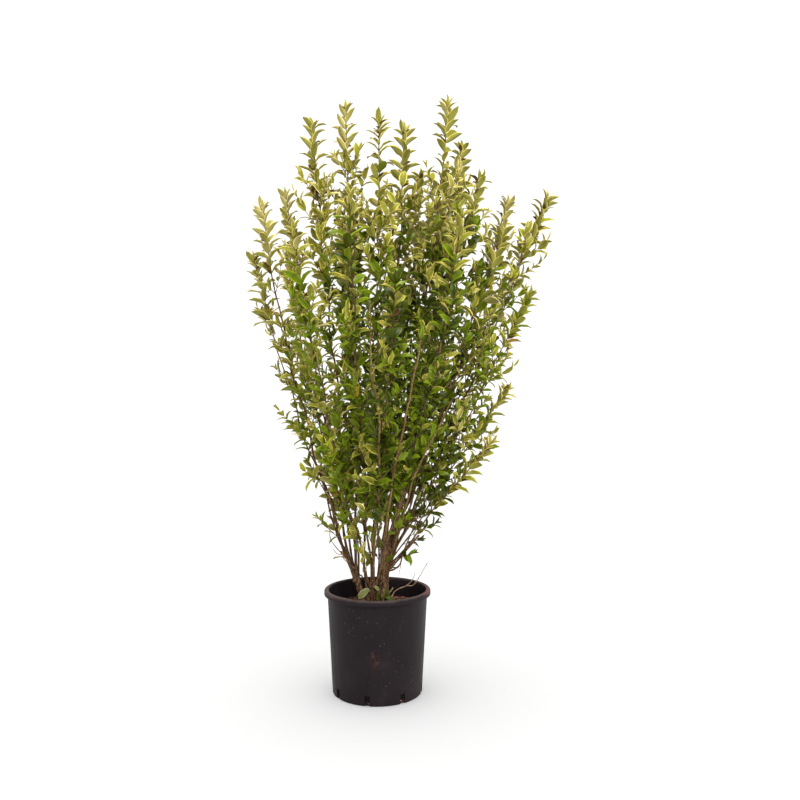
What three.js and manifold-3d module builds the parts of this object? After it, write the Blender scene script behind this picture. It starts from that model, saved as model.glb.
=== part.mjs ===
// A potted golden privet: a bushy shrub with gold-edged leaves, in a round black nursery pot.
// Millimetres, +Z up. The origin is the middle of the pot's underside, and the front is -Y.
// Canes fan out of two old stools. Each cane is bare at its foot, and carries one mass of leaves above.
import * as THREE from "three";
import { mergeVertices } from "three/addons/utils/BufferGeometryUtils.js";
import Module from "manifold-3d";

const wasm = await Module();
wasm.setup();

// Driving dimensions of the pot and its filling
const POT_HEIGHT = 287;
const RIM_RADIUS = 150;
const BODY_TOP_RADIUS = 140.5;
const BASE_RADIUS = 126;
const WALL = 2.6;
const LIP_HEIGHT = 15;
const LIP_ROUND = 5;
const ROUND_SIDES = 36;
const SLOT_COUNT = 8;
const SLOT_WIDTH = 15;
const SLOT_HEIGHT = 28;
const SLOT_REACH = 10;
const FIRST_SLOT_DEG = 34;
const SOIL_LEVEL = 240;
const SOIL_FALL = 6;
const SOIL_FLAT_RADIUS = 88;
const CLEAR = 0.3;

// Driving dimensions of the plant
const FOOT_SIDES = 5;
const FOOT_STEPS = 3;
const FOLIAGE_FROM = 470;
const FOLIAGE_STAGGER = 22;
const CANE_TIP_RADIUS = 1.5;
const CANE_BASE_RADIUS = 2.9;
const CANE_RADIUS_PER_MM = 0.0022;

// Driving dimensions of the foliage
const SEED = 20260;
const PLUME = 250;
const PLUME_PITCH = 54;
const PLUME_REACH = 44;
const BODY_REACH = 68;
const BODY_PITCH = 80;
const PLUME_LEAF = 54;
const PLUME_FOOT_LEAF = 90;
const BODY_LEAF = 112;
const TIP_LEAF = 40;
const LEAF_WIDTH_SHARE = 0.54;
const STEM_STEP = 180;
const LEAF_ARCH = 0.13;
const LEAF_KEEL = 0.045;
const WIDEST_AT = 0.45;
const ROOT_SINK = 0.3;
const SHOOT_LENGTH = 150;
const SHOOT_RADIUS = 2.2;
const TOP_CAP = 62;
const SIDE_GAP = 2;
const LEAF_FACES = 26;
const SHOOT_FACES = 26;
const LEAF_TRIES = [
  [1, 1],
  [1, 0.6],
  [0.85, 0.8],
  [0.7, 1],
  [0.7, 0.5],
];
const SHOOT_TRIES = [
  [1, 1],
  [1, 0.6],
  [0.7, 0.8],
  [0.7, 0.4],
];
const TIDY = 0.03;
const NEAR = 0.02;

// The old wood: three stools in the potting mix, with the largest pruned to a limb and a stub.
const STOOLS = [
  { name: "stool_right", foot: [12, 0], top: [22, 1, 350], radii: [23, 16, 14.5, 13.5, 11] },
  { name: "stool_left", foot: [-38, -2], top: [-62, -1, 334], radii: [15, 9.5, 8.5, 8.5, 7] },
  { name: "stool_front", foot: [-16, -24], top: [-14, -27, 302], radii: [9, 7, 6.5, 6.5, 5] },
];
const STOOL_STOPS = [0, 0.2, 0.5, 0.85, 1];
const STOOL_SIDES = 9;
const LIMB = { name: "pruned_limb", foot: [26, 1, 350], top: [61, 2, 477], radii: [12.5, 11.5], sides: 8 };
const STUB = {
  name: "cut_stub",
  path: [
    [24, -6, 332],
    [50, -9, 360],
    [82, -12, 398],
    [117, -14, 439],
  ],
  radii: [3.6, 2.8],
};
const TWIG = {
  name: "dry_twig",
  path: [
    [32, -44, SOIL_LEVEL + CLEAR],
    [47, -46, 286],
    [80, -47, 304],
    [104, -46, 310],
    [140, -44, 368],
  ],
  radii: [1.8, 0.9],
};

// Each cane's tip, and its bow: 1 is straight, more turns upright towards the tip, less leans out near it.
// Most leave a stool near its top, and two thin ones at the back stand in the potting mix.
const LEFT = [-60, -1, 318];
const FRONT = [-14, -26, 288];
const RIGHT = [20, 1, 334];
const FORK = [29, 0, 362];
const CANES = [
  { name: "left_edge", tip: [-355, 30, 1245], bow: 1.2, from: LEFT, aside: [-4, 1, 0] },
  { name: "left_high", tip: [-310, -80, 1365], bow: 1.4, from: LEFT, aside: [-3, -4, -8] },
  { name: "left_rear", tip: [-274, 90, 1445], bow: 1.15, from: LEFT, aside: [0, 4, 4] },
  { name: "left_spire", tip: [-178, -60, 1595], bow: 1.15, from: LEFT, aside: [3, -3, 6] },
  { name: "left_tall", tip: [-92, 40, 1683], bow: 1.25, from: LEFT, aside: [6, 2, 0] },
  { name: "front_spire", tip: [9, -130, 1583], bow: 1.2, from: FRONT, aside: [2, 3, 6] },
  { name: "middle_spire", tip: [78, 100, 1640], bow: 1.2, from: RIGHT, aside: [-9, 5, 0] },
  { name: "rear_spire", tip: [130, 240, 1545], bow: 1.2, from: RIGHT, aside: [-3, 9, -10] },
  { name: "tallest", tip: [198, -30, 1669], bow: 1.3, from: RIGHT, aside: [-2, -7, 4] },
  { name: "right_tall", tip: [250, 140, 1600], bow: 1.15, from: RIGHT, aside: [3, 6, 6] },
  { name: "right_front", tip: [278, -120, 1435], bow: 1.1, from: RIGHT, aside: [3, -9, 0] },
  { name: "right_high", tip: [381, 70, 1417], bow: 1.1, from: FORK, aside: [-3, 4, 4] },
  { name: "right_inner", tip: [350, -50, 1300], bow: 1.1, from: FORK, aside: [0, -4, -2] },
  { name: "right_edge", tip: [480, -20, 1402], bow: 1.08, from: FORK, aside: [2, 0, -4] },
  { name: "right_shoulder", tip: [414, -150, 1122], bow: 1.05, from: FORK, aside: [2, -6, -8] },
  { name: "right_low", tip: [391, 40, 873], bow: 0.95, from: FORK, aside: [3, 4, -12] },
  { name: "right_lowest", tip: [335, -90, 727], bow: 0.95, from: FORK, aside: [2, -3, -16] },
  { name: "front_left", tip: [-60, -330, 1330], bow: 1.2, from: FRONT, aside: [-1, -2, 4] },
  { name: "front_right", tip: [215, -300, 1290], bow: 1.3, from: FRONT, aside: [3, -2, 0] },
  { name: "front_middle", tip: [55, -400, 1120], bow: 1.1, from: FRONT, aside: [1, -4, -6] },
  { name: "left_front", tip: [-205, -250, 1275], bow: 1.25, from: FRONT, aside: [-3, 0, 0] },
  { name: "left_back", tip: [-290, 240, 1250], bow: 1.2, from: LEFT, aside: [-1, 6, -10] },
  { name: "back_left", tip: [-120, 330, 1420], bow: 1.2, from: [-28, 30, SOIL_LEVEL], aside: [0, 0, 0] },
  { name: "back_right", tip: [215, 370, 1380], bow: 1.2, from: RIGHT, aside: [2, 11, -8] },
  { name: "back_middle", tip: [30, 420, 1230], bow: 1.1, from: [-6, 38, SOIL_LEVEL], aside: [0, 0, 0] },
  { name: "right_back", tip: [390, 255, 1200], bow: 1.1, from: RIGHT, aside: [8, 8, -2] },
];

const rimMaterial = new THREE.MeshStandardMaterial({ color: 0x302a2c, roughness: 0.5, metalness: 0 });
const soilMaterial = new THREE.MeshStandardMaterial({ color: 0x4a2e20, roughness: 0.95, metalness: 0 });
const barkMaterial = new THREE.MeshStandardMaterial({ color: 0x77603f, roughness: 0.85, metalness: 0 });
const leafMaterial = new THREE.MeshStandardMaterial({ color: 0x9a9a4a, roughness: 0.6, metalness: 0 });

// A repeatable random stream between 0 and 1
function randomStream(seed) {
  let state = seed >>> 0;
  return () => {
    state = (state + 0x6d2b79f5) >>> 0;
    let mixed = Math.imul(state ^ (state >>> 15), 1 | state);
    mixed = (mixed + Math.imul(mixed ^ (mixed >>> 7), 61 | mixed)) ^ mixed;
    return ((mixed ^ (mixed >>> 14)) >>> 0) / 4294967296;
  };
}

// A closed geometry as a solid that can be joined and cut
function solidFrom(geometry) {
  const bare = new THREE.BufferGeometry().setAttribute("position", geometry.getAttribute("position"));
  if (geometry.index) bare.setIndex(geometry.index);
  const merged = mergeVertices(bare);
  return new wasm.Manifold(
    new wasm.Mesh({
      numProp: 3,
      vertProperties: new Float32Array(merged.attributes.position.array),
      triVerts: new Uint32Array(merged.index.array),
    }),
  );
}

// A solid as a named mesh
function meshFrom(name, solid, material) {
  const { numProp, numVert, vertProperties, triVerts } = solid.getMesh();
  const positions = new Float32Array(numVert * 3);
  for (let i = 0; i < numVert; i++) positions.set(vertProperties.subarray(i * numProp, i * numProp + 3), i * 3);
  const geometry = new THREE.BufferGeometry();
  geometry.setAttribute("position", new THREE.BufferAttribute(positions, 3));
  geometry.setIndex(new THREE.BufferAttribute(new Uint32Array(triVerts), 1));
  geometry.computeVertexNormals();
  const mesh = new THREE.Mesh(geometry, material);
  mesh.name = name;
  return mesh;
}

// The largest body of a solid that a cut has left in pieces
function largestOf(solid) {
  const bodies = solid.decompose();
  return bodies.reduce((best, body) => (body.volume() > best.volume() ? body : best));
}

// A profile of [radius, height] points turned round the Z axis
function turned(profile) {
  const points = profile.map(([r, z]) => new THREE.Vector2(r, z));
  return new THREE.LatheGeometry(points, ROUND_SIDES).rotateX(Math.PI / 2);
}

// A tapering limb along a curve. A level limb keeps its rings flat, so that its ends are flat cuts.
function limb(pointAt, radiusAt, sides, steps, level) {
  const geometry = new THREE.CylinderGeometry(1, 1, 1, sides, steps);
  const place = geometry.getAttribute("position");
  const vertex = new THREE.Vector3();
  for (let i = 0; i < place.count; i++) {
    vertex.fromBufferAttribute(place, i);
    const t = vertex.y + 0.5;
    const along = level ? new THREE.Vector3(0, 0, 1) : tangentOf(pointAt, t);
    const side = level ? new THREE.Vector3(1, 0, 0) : sideOf(along);
    const across = new THREE.Vector3().crossVectors(side, along);
    const point = pointAt(t)
      .addScaledVector(side, vertex.x * radiusAt(t))
      .addScaledVector(across, vertex.z * radiusAt(t));
    place.setXYZ(i, point.x, point.y, point.z);
  }
  return solidFrom(geometry);
}

function tangentOf(pointAt, t) {
  const step = 0.02;
  return pointAt(Math.min(1, t + step)).sub(pointAt(Math.max(0, t - step))).normalize();
}

// A level direction square to a limb
function sideOf(along) {
  const up = Math.abs(along.z) > 0.97 ? new THREE.Vector3(1, 0, 0) : new THREE.Vector3(0, 0, 1);
  return new THREE.Vector3().crossVectors(along, up).normalize();
}

// A value that runs through stops at set places between 0 and 1
function through(values, at, t) {
  for (let i = 1; i < at.length; i++) {
    if (t <= at[i]) {
      return THREE.MathUtils.mapLinear(t, at[i - 1], at[i], values[i - 1], values[i]);
    }
  }
  return values[values.length - 1];
}

// The pot: tapering wall, rolled lip, flat floor and a ring of drainage slots at the foot of the wall
function makePot() {
  const lipBottom = POT_HEIGHT - LIP_HEIGHT;
  const profile = [
    [0, 0],
    [BASE_RADIUS - WALL, 0],
    [BASE_RADIUS, WALL],
    [BODY_TOP_RADIUS, lipBottom],
    [RIM_RADIUS - LIP_ROUND / 2, lipBottom],
    [RIM_RADIUS, lipBottom + LIP_ROUND],
    [RIM_RADIUS, POT_HEIGHT - LIP_ROUND],
    [RIM_RADIUS - LIP_ROUND, POT_HEIGHT],
    [RIM_RADIUS - 2 * LIP_ROUND, POT_HEIGHT],
    [innerRadius(lipBottom), lipBottom],
    [innerRadius(WALL), WALL],
    [0, WALL],
  ];
  let pot = solidFrom(turned(profile));
  for (let i = 0; i < SLOT_COUNT; i++) {
    const turn = THREE.MathUtils.degToRad(FIRST_SLOT_DEG + (i * 360) / SLOT_COUNT);
    const slot = new THREE.BoxGeometry(SLOT_WIDTH, 2 * SLOT_REACH, 2 * SLOT_HEIGHT);
    slot.translate(0, -BASE_RADIUS, 0).rotateZ(turn);
    pot = pot.subtract(solidFrom(slot));
  }
  return pot;
}

// The inside of the pot's wall at a height
function innerRadius(z) {
  return THREE.MathUtils.mapLinear(z, WALL, POT_HEIGHT - LIP_HEIGHT, BASE_RADIUS, BODY_TOP_RADIUS) - WALL;
}

// The potting mix fills the pot, and falls a little towards the wall.
function makeSoil() {
  const edge = SOIL_LEVEL - SOIL_FALL;
  const floor = WALL + CLEAR;
  return solidFrom(
    turned([
      [0, floor],
      [innerRadius(floor) - CLEAR, floor],
      [innerRadius(edge) - CLEAR, edge],
      [SOIL_FLAT_RADIUS, SOIL_LEVEL],
      [0, SOIL_LEVEL],
    ]),
  );
}

// Where a cane starts: a little aside of the middle of its stool
function caneFoot(cane) {
  return new THREE.Vector3(...cane.from).add(new THREE.Vector3(...cane.aside));
}

// A cane's axis at a height: it leaves its foot and bows to its tip.
function caneAt(cane, z) {
  const foot = caneFoot(cane);
  const tip = new THREE.Vector3(...cane.tip);
  const share = THREE.MathUtils.clamp((z - foot.z) / (tip.z - foot.z), 0, 1);
  const point = foot.lerp(tip, 1 - (1 - share) ** cane.bow);
  point.z = z;
  return point;
}

function caneRadius(cane, z) {
  const tipZ = cane.tip[2];
  const foot = CANE_BASE_RADIUS + CANE_RADIUS_PER_MM * (tipZ - SOIL_LEVEL);
  return THREE.MathUtils.mapLinear(z, SOIL_LEVEL, tipZ, foot, CANE_TIP_RADIUS);
}

// Where a cane ends and its foliage begins
function foliageFrom(index) {
  return FOLIAGE_FROM + FOLIAGE_STAGGER * ((index * 3) % 5);
}

// One bare cane from a flat cut on the soil to its foliage, grown by a margin where it is used as a cutter
function makeCane(cane, index, margin) {
  const low = caneFoot(cane).z + CLEAR - margin;
  const high = foliageFrom(index) + margin;
  const heightAt = (t) => THREE.MathUtils.lerp(low, high, t);
  return limb(
    (t) => caneAt(cane, heightAt(t)),
    (t) => caneRadius(cane, heightAt(t)) + margin,
    FOOT_SIDES,
    FOOT_STEPS,
    true,
  );
}

function makeStool(stool, margin) {
  const low = new THREE.Vector3(...stool.foot, SOIL_LEVEL + CLEAR - margin);
  const high = new THREE.Vector3(...stool.top);
  high.z += margin;
  return limb(
    (t) => low.clone().lerp(high, t),
    (t) => through(stool.radii, STOOL_STOPS, t) + margin,
    STOOL_SIDES,
    FOOT_STEPS,
    true,
  );
}

function limbAt(t) {
  const low = new THREE.Vector3(...LIMB.foot);
  low.z += CLEAR;
  return low.lerp(new THREE.Vector3(...LIMB.top), t);
}

function makePrunedLimb(margin) {
  return limb(limbAt, (t) => THREE.MathUtils.lerp(...LIMB.radii, t) + margin, LIMB.sides, 2, true);
}

// A thin piece of wood along a smooth line through a few points, grown by a margin where it is a cutter
function makeThinWood(wood, margin) {
  const curve = new THREE.CatmullRomCurve3(wood.path.map((point) => new THREE.Vector3(...point)));
  return limb((t) => curve.getPoint(t), (t) => THREE.MathUtils.lerp(...wood.radii, t) + margin, 4, 6, true);
}

// The level distance from a point to a cane's axis
function offCane(cane, point) {
  const axis = caneAt(cane, Math.min(point.z, cane.tip[2]));
  return Math.hypot(point.x - axis.x, point.y - axis.y);
}

// True where a point lies nearer to its own cane than to any other that reaches its height,
// and clear of its own bare cane and of the pruned limb
function inOwnSpace(cane, index, point) {
  if (point.z > cane.tip[2] + TOP_CAP) return false;
  if (point.z < foliageFrom(index) + 2 && offCane(cane, point) < caneRadius(cane, point.z) + 3) return false;
  if (point.z < LIMB.top[2] + 4 && Math.hypot(point.x - LIMB.top[0], point.y - LIMB.top[1]) < 60) return false;
  const own = offCane(cane, point);
  const depth = THREE.MathUtils.clamp((cane.tip[2] - point.z) / PLUME, 0, 1);
  if (own > THREE.MathUtils.lerp(PLUME_REACH, BODY_REACH, depth)) return false;
  return CANES.every(
    (other) => other === cane || point.z > other.tip[2] + TOP_CAP + 1 || own + SIDE_GAP < offCane(other, point),
  );
}

// One leaf of six faces between its root, its tip, two edge corners and a keel: arched, keeled and pointed
function leafShape(base, along, across, length) {
  const face = new THREE.Vector3().crossVectors(along, across);
  const geometry = new THREE.SphereGeometry(1, 3, 2);
  const place = geometry.getAttribute("position");
  for (let i = 0; i < place.count; i++) {
    const end = Math.round(place.getY(i));
    const middle = 1 - Math.abs(end);
    const edge = middle * Math.sign(Math.round(place.getZ(i)));
    const keel = middle * (1 - Math.abs(edge));
    const run = [-ROOT_SINK, length * WIDEST_AT, length][end + 1];
    const lift = middle * length * LEAF_ARCH - keel * length * LEAF_KEEL;
    const point = base
      .clone()
      .addScaledVector(along, run)
      .addScaledVector(across, (edge * length * LEAF_WIDTH_SHARE) / 2)
      .addScaledVector(face, lift);
    place.setXYZ(i, point.x, point.y, point.z);
  }
  return geometry;
}

// A leaf's corners and the points between them, which all have to keep to their own space
function pointsOf(geometry) {
  const place = geometry.getAttribute("position");
  const corners = [];
  for (let i = 0; i < place.count; i++) corners.push(new THREE.Vector3().fromBufferAttribute(place, i));
  const points = [];
  for (let i = 0; i < corners.length; i += 3) {
    for (let k = 0; k < 3; k++) {
      const next = corners[i + ((k + 1) % 3)];
      points.push(corners[i + k], corners[i + k].clone().lerp(next, 0.33), corners[i + k].clone().lerp(next, 0.67));
    }
  }
  return points;
}

// A piece joined to a mass of leaves. It is refused where it would cross other leaves,
// which shows as many new faces, or would leave two corners almost touching.
function joinTo(mass, piece, mostFaces) {
  const joined = mass.solid.add(piece).simplify(TIDY);
  if (joined.numTri() - mass.solid.numTri() > mostFaces) return false;
  if (joined.decompose().length !== 1 || hasCloseCorners(joined)) return false;
  mass.solid = joined;
  return true;
}

function hasCloseCorners(solid) {
  const { numProp, numVert, vertProperties } = solid.getMesh();
  const seen = new Set();
  for (let i = 0; i < numVert; i++) {
    const key = [0, 1, 2].map((k) => Math.round(vertProperties[i * numProp + k] / NEAR)).join(" ");
    if (seen.has(key)) return true;
    seen.add(key);
  }
  return false;
}

// A leaf on a shoot: it stands out at a turn round the shoot, and leans off it by an angle.
// It is tried at its full length, then steeper, then shorter, and skipped where it would leave its space.
function addLeaf(mass, base, shoot, turn, lean, length) {
  const side = sideOf(shoot);
  const top = new THREE.Vector3().crossVectors(side, shoot);
  const out = side.multiplyScalar(Math.cos(turn)).addScaledVector(top, Math.sin(turn));
  const across = new THREE.Vector3().crossVectors(shoot, out).normalize();
  for (const [size, steeper] of LEAF_TRIES) {
    const tilt = lean * steeper;
    const along = out.clone().multiplyScalar(Math.sin(tilt)).addScaledVector(shoot, Math.cos(tilt)).normalize();
    const facing = new THREE.Vector3().crossVectors(along, across).z < 0 ? -1 : 1;
    const shape = leafShape(base, along, across.clone().multiplyScalar(facing), length * size);
    const fits = pointsOf(shape).every((p) => p.distanceTo(base) < 3 || inOwnSpace(mass.cane, mass.index, p));
    if (fits && joinTo(mass, solidFrom(shape), LEAF_FACES)) return;
  }
}

// A side shoot that rises from the cane, with a pair of leaves and one at its tip
function addSideShoot(mass, z, turn, length) {
  const start = mass.middleAt(z);
  for (const [size, spread] of SHOOT_TRIES) {
    const reach = new THREE.Vector3(Math.cos(turn) * spread, Math.sin(turn) * spread, 1).normalize();
    const end = start.clone().addScaledVector(reach, length * size);
    const at = (t) => start.clone().lerp(end, t);
    if (![0.25, 0.5, 0.75, 1].every((t) => inOwnSpace(mass.cane, mass.index, at(t)))) continue;
    const radius = Math.min(SHOOT_RADIUS, 0.5 * caneRadius(mass.cane, z));
    const shoot = limb(at, (t) => radius * (1 - 0.25 * t), 3, 1, false);
    if (!joinTo(mass, shoot, SHOOT_FACES)) continue;
    const twist = mass.random() * Math.PI;
    const leaf = BODY_LEAF * (0.85 + 0.25 * mass.random());
    for (const half of [0, Math.PI]) addLeaf(mass, at(0.62), reach, twist + half, 0.9, leaf);
    addLeaf(mass, at(0.95), reach, twist + Math.PI / 2, 0.25, leaf);
    return;
  }
}

// One mass of foliage: the leafy top of a cane, side shoots on its body and pairs of leaves up its plume
function makeFoliage(cane, index) {
  const random = randomStream(SEED + index * 101);
  const low = foliageFrom(index) + CLEAR;
  const tipZ = cane.tip[2];
  const stemTop = tipZ - TIP_LEAF * 0.8;
  const heightAt = (t) => THREE.MathUtils.lerp(low, stemTop, t);
  const steps = Math.max(2, Math.round((stemTop - low) / STEM_STEP));
  const stem = limb(
    (t) => caneAt(cane, heightAt(t)),
    (t) => caneRadius(cane, heightAt(t)),
    3,
    steps,
    true,
  );
  // The middle of the faceted stem at a height, which leaves the cane's smooth axis a little between two rings
  const middleAt = (z) => {
    const place = (steps * (z - low)) / (stemTop - low);
    const ring = THREE.MathUtils.clamp(Math.floor(place), 0, steps - 1);
    const [from, to] = [ring, ring + 1].map((k) => caneAt(cane, heightAt(k / steps)));
    return from.lerp(to, place - ring);
  };
  const mass = { cane, index, random, middleAt, solid: stem };
  const shootAt = (z) => tangentOf((t) => caneAt(cane, z - 20 + 40 * t), 0.5);
  const plumeFrom = Math.max(low + 40, tipZ - PLUME);
  let turn = random() * Math.PI;
  let node = index;
  for (let z = low + 20 + 20 * random(); z < plumeFrom - 20; z += BODY_PITCH) {
    const depth = (tipZ - z) / (tipZ - low);
    const leaf = BODY_LEAF * (0.85 + 0.25 * random());
    if (node % 3 === 0) addSideShoot(mass, z, turn, SHOOT_LENGTH * (0.6 + 0.4 * depth) * (0.85 + 0.3 * random()));
    else addLeaf(mass, middleAt(z), shootAt(z), turn, 0.9, leaf);
    addLeaf(mass, middleAt(z + 6), shootAt(z), turn + Math.PI, 0.9, leaf);
    node += 1;
    turn += Math.PI / 2 + 0.5 * (random() - 0.5);
  }
  for (let z = plumeFrom; z < stemTop - 12; z += PLUME_PITCH) {
    const leaf = THREE.MathUtils.mapLinear(z, tipZ, plumeFrom, PLUME_LEAF, PLUME_FOOT_LEAF);
    for (const half of [0, Math.PI]) addLeaf(mass, middleAt(z), shootAt(z), turn + half, 0.82, leaf);
    turn += Math.PI / 2;
  }
  addLeaf(mass, middleAt(stemTop - 3), shootAt(stemTop - 20), turn, 0.1, TIP_LEAF);
  return mass.solid;
}

// The plant's bare wood: each piece is cut clear of those made before it.
function makeWood() {
  const made = [];
  const cutters = [];
  const keep = (name, solid, cutter) => {
    const cut = cutters.reduce((rest, other) => rest.subtract(other), solid);
    made.push([name, largestOf(cut)]);
    cutters.push(cutter);
  };
  for (const stool of STOOLS) keep(stool.name, makeStool(stool, 0), makeStool(stool, CLEAR));
  keep(LIMB.name, makePrunedLimb(0), makePrunedLimb(CLEAR));
  CANES.forEach((cane, index) => {
    keep("cane_" + cane.name, makeCane(cane, index, 0), makeCane(cane, index, CLEAR));
  });
  for (const wood of [STUB, TWIG]) keep(wood.name, makeThinWood(wood, 0), makeThinWood(wood, CLEAR));
  return made;
}

const plant = new THREE.Group();
plant.add(meshFrom("pot", makePot(), rimMaterial));
plant.add(meshFrom("potting_mix", makeSoil(), soilMaterial));
for (const [name, solid] of makeWood()) plant.add(meshFrom(name, solid, barkMaterial));
CANES.forEach((cane, index) => {
  plant.add(meshFrom("foliage_" + cane.name, makeFoliage(cane, index), leafMaterial));
});

export default plant;
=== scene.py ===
# %% [markdown]
# # A potted golden privet
# The real plant is a bushy hedging shrub: straight canes fan out of three old pruned stools in a black
# nursery pot, and every cane carries gold-edged leaves in opposite pairs. This lesson dresses its plain
# solids: it turns the pot, grows bark over the wood, and puts thousands of small leaves on the canes.
# Everything is in metres with +Z up, the origin is the middle of the pot's underside, and the front is -Y.

# %% The frame and the libraries
import math
import bpy
import numpy as np
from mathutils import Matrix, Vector


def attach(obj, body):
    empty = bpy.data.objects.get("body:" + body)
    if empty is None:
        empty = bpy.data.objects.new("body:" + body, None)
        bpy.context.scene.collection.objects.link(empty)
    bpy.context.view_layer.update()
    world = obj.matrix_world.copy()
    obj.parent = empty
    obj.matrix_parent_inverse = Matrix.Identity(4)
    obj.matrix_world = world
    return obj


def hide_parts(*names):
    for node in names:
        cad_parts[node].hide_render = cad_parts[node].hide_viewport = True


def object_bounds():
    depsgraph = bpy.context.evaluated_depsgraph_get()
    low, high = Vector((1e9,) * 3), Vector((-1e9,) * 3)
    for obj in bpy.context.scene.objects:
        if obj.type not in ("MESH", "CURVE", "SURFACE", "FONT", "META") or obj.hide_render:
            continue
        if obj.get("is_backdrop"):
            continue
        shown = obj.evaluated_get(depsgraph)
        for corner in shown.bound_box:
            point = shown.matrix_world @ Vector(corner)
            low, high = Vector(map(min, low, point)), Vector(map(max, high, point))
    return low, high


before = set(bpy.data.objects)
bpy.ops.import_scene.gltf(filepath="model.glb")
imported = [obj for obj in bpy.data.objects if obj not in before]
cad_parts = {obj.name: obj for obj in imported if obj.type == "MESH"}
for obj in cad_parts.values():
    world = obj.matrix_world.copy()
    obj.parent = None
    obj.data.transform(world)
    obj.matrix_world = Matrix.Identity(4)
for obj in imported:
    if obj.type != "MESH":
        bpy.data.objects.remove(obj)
cad_low, cad_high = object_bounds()

print("solids:", len(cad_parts), "box:", [round(v, 3) for v in (*cad_low, *cad_high)])

# %% [markdown]
# ## Starting a piece
# Most operators act on all that is selected, so each piece starts with nothing selected. A new primitive
# is then the active object, and gets its plain name at once. Vertices are picked by their place, in code,
# because a script can't point at them with a mouse.

# %% Helpers to start, edit and finish a piece
def start_fresh():
    """Leave edit mode and select nothing."""
    if bpy.context.object and bpy.context.object.mode != "OBJECT":
        bpy.ops.object.mode_set(mode="OBJECT")
    bpy.ops.object.select_all(action="DESELECT")


def named(name):
    """Name the object that an operator has just added."""
    piece = bpy.context.object
    piece.name = name
    piece.data.name = name
    return piece


def make_active(piece):
    """Select one piece alone and make it the active one."""
    start_fresh()
    piece.select_set(True)
    bpy.context.view_layer.objects.active = piece


def edit_all():
    """Open the active piece in edit mode with all of it selected."""
    bpy.ops.object.mode_set(mode="EDIT")
    bpy.ops.mesh.select_all(action="SELECT")


def pick(piece, wanted):
    """In edit mode, select the vertices whose place passes a test."""
    bpy.ops.object.mode_set(mode="OBJECT")
    mesh = piece.data
    for part in (mesh.edges, mesh.polygons):
        part.foreach_set("select", [False] * len(part))
    mesh.vertices.foreach_set("select", [bool(wanted(v.co)) for v in mesh.vertices])
    bpy.ops.object.mode_set(mode="EDIT")
    bpy.ops.mesh.select_mode(type="VERT")


def close_mesh(weld=0):
    """Weld vertices that lie together, turn every face outward and leave edit mode."""
    bpy.ops.mesh.select_all(action="SELECT")
    if weld:
        bpy.ops.mesh.remove_doubles(threshold=weld)
    bpy.ops.mesh.normals_make_consistent(inside=False)
    bpy.ops.object.mode_set(mode="OBJECT")


def smooth(degrees):
    """Shade the active piece smooth, except across edges sharper than an angle."""
    bpy.ops.object.shade_smooth_by_angle(angle=math.radians(degrees))


def join(pieces):
    """Join pieces into the first of them."""
    make_active(pieces[0])
    for piece in pieces:
        piece.select_set(True)
    bpy.ops.object.join()
    return pieces[0]


def apply_modifier(piece, kind, **settings):
    """Add a modifier with its settings and apply it."""
    make_active(piece)
    bpy.ops.object.modifier_add(type=kind)
    modifier = piece.modifiers[-1]
    for setting, value in settings.items():
        setattr(modifier, setting, value)
    bpy.ops.object.modifier_apply(modifier=modifier.name)


def finish_piece(piece, materials, nodes=()):
    """Give a piece its materials, its body and the solids that it stands for."""
    for material in materials:
        piece.data.materials.append(material)
    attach(piece, "root")
    if nodes:
        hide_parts(*nodes)
    print(piece.name, len(piece.data.polygons), "faces")
    return piece


# %% [markdown]
# ## Materials from nodes
# Bark, plastic and potting mix all vary from place to place. A noise texture on Object coordinates, run
# through a colour ramp, gives the variation, and a second one drives a bump. Object coordinates are metres
# here, so a noise scale of 100 gives marks of about 10 mm, and a Mapping node draws them out lengthwise.

# %% Helpers that lay out a material
def linear(hex_colour):
    """A colour as painters write it, #rrggbb, as the linear numbers that a shader wants."""
    parts = [int(hex_colour[i:i + 2], 16) / 255 for i in (1, 3, 5)]
    return [p / 12.92 if p <= 0.04045 else ((p + 0.055) / 1.055) ** 2.4 for p in parts] + [1]


def start_material(name, roughness, shine):
    """A new material, its node tree and its shader."""
    material = bpy.data.materials.new(name)
    material.use_nodes = True
    shader = material.node_tree.nodes["Principled BSDF"]
    shader.inputs["Roughness"].default_value = roughness
    shader.inputs["Specular IOR Level"].default_value = shine
    return material, material.node_tree, shader


def plain_material(name, colour, roughness, shine=0.3):
    """A material of one base colour, for faces whose colour is dealt out by place."""
    material, _, shader = start_material(name, roughness, shine)
    shader.inputs["Base Color"].default_value = linear(colour)
    return material


def add_node(tree, kind, **settings):
    node = tree.nodes.new(kind)
    for setting, value in settings.items():
        setattr(node, setting, value)
    return node


def object_place(tree, stretch=(1, 1, 1), centre=(0, 0, 0)):
    """Object coordinates, measured from a centre and scaled along each axis."""
    place = add_node(tree, "ShaderNodeTexCoord")
    mapping = add_node(tree, "ShaderNodeMapping")
    mapping.inputs["Scale"].default_value = stretch
    mapping.inputs["Location"].default_value = [-c * s for c, s in zip(centre, stretch)]
    tree.links.new(place.outputs["Object"], mapping.inputs["Vector"])
    return mapping.outputs["Vector"]


def axis(tree, place, letter):
    """One coordinate of a place."""
    node = add_node(tree, "ShaderNodeSeparateXYZ")
    tree.links.new(place, node.inputs["Vector"])
    return node.outputs[letter]


def noise(tree, place, scale, detail=4, distortion=0):
    node = add_node(tree, "ShaderNodeTexNoise")
    node.inputs["Scale"].default_value = scale
    node.inputs["Detail"].default_value = detail
    node.inputs["Distortion"].default_value = distortion
    tree.links.new(place, node.inputs["Vector"])
    return node.outputs["Fac"]


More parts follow.
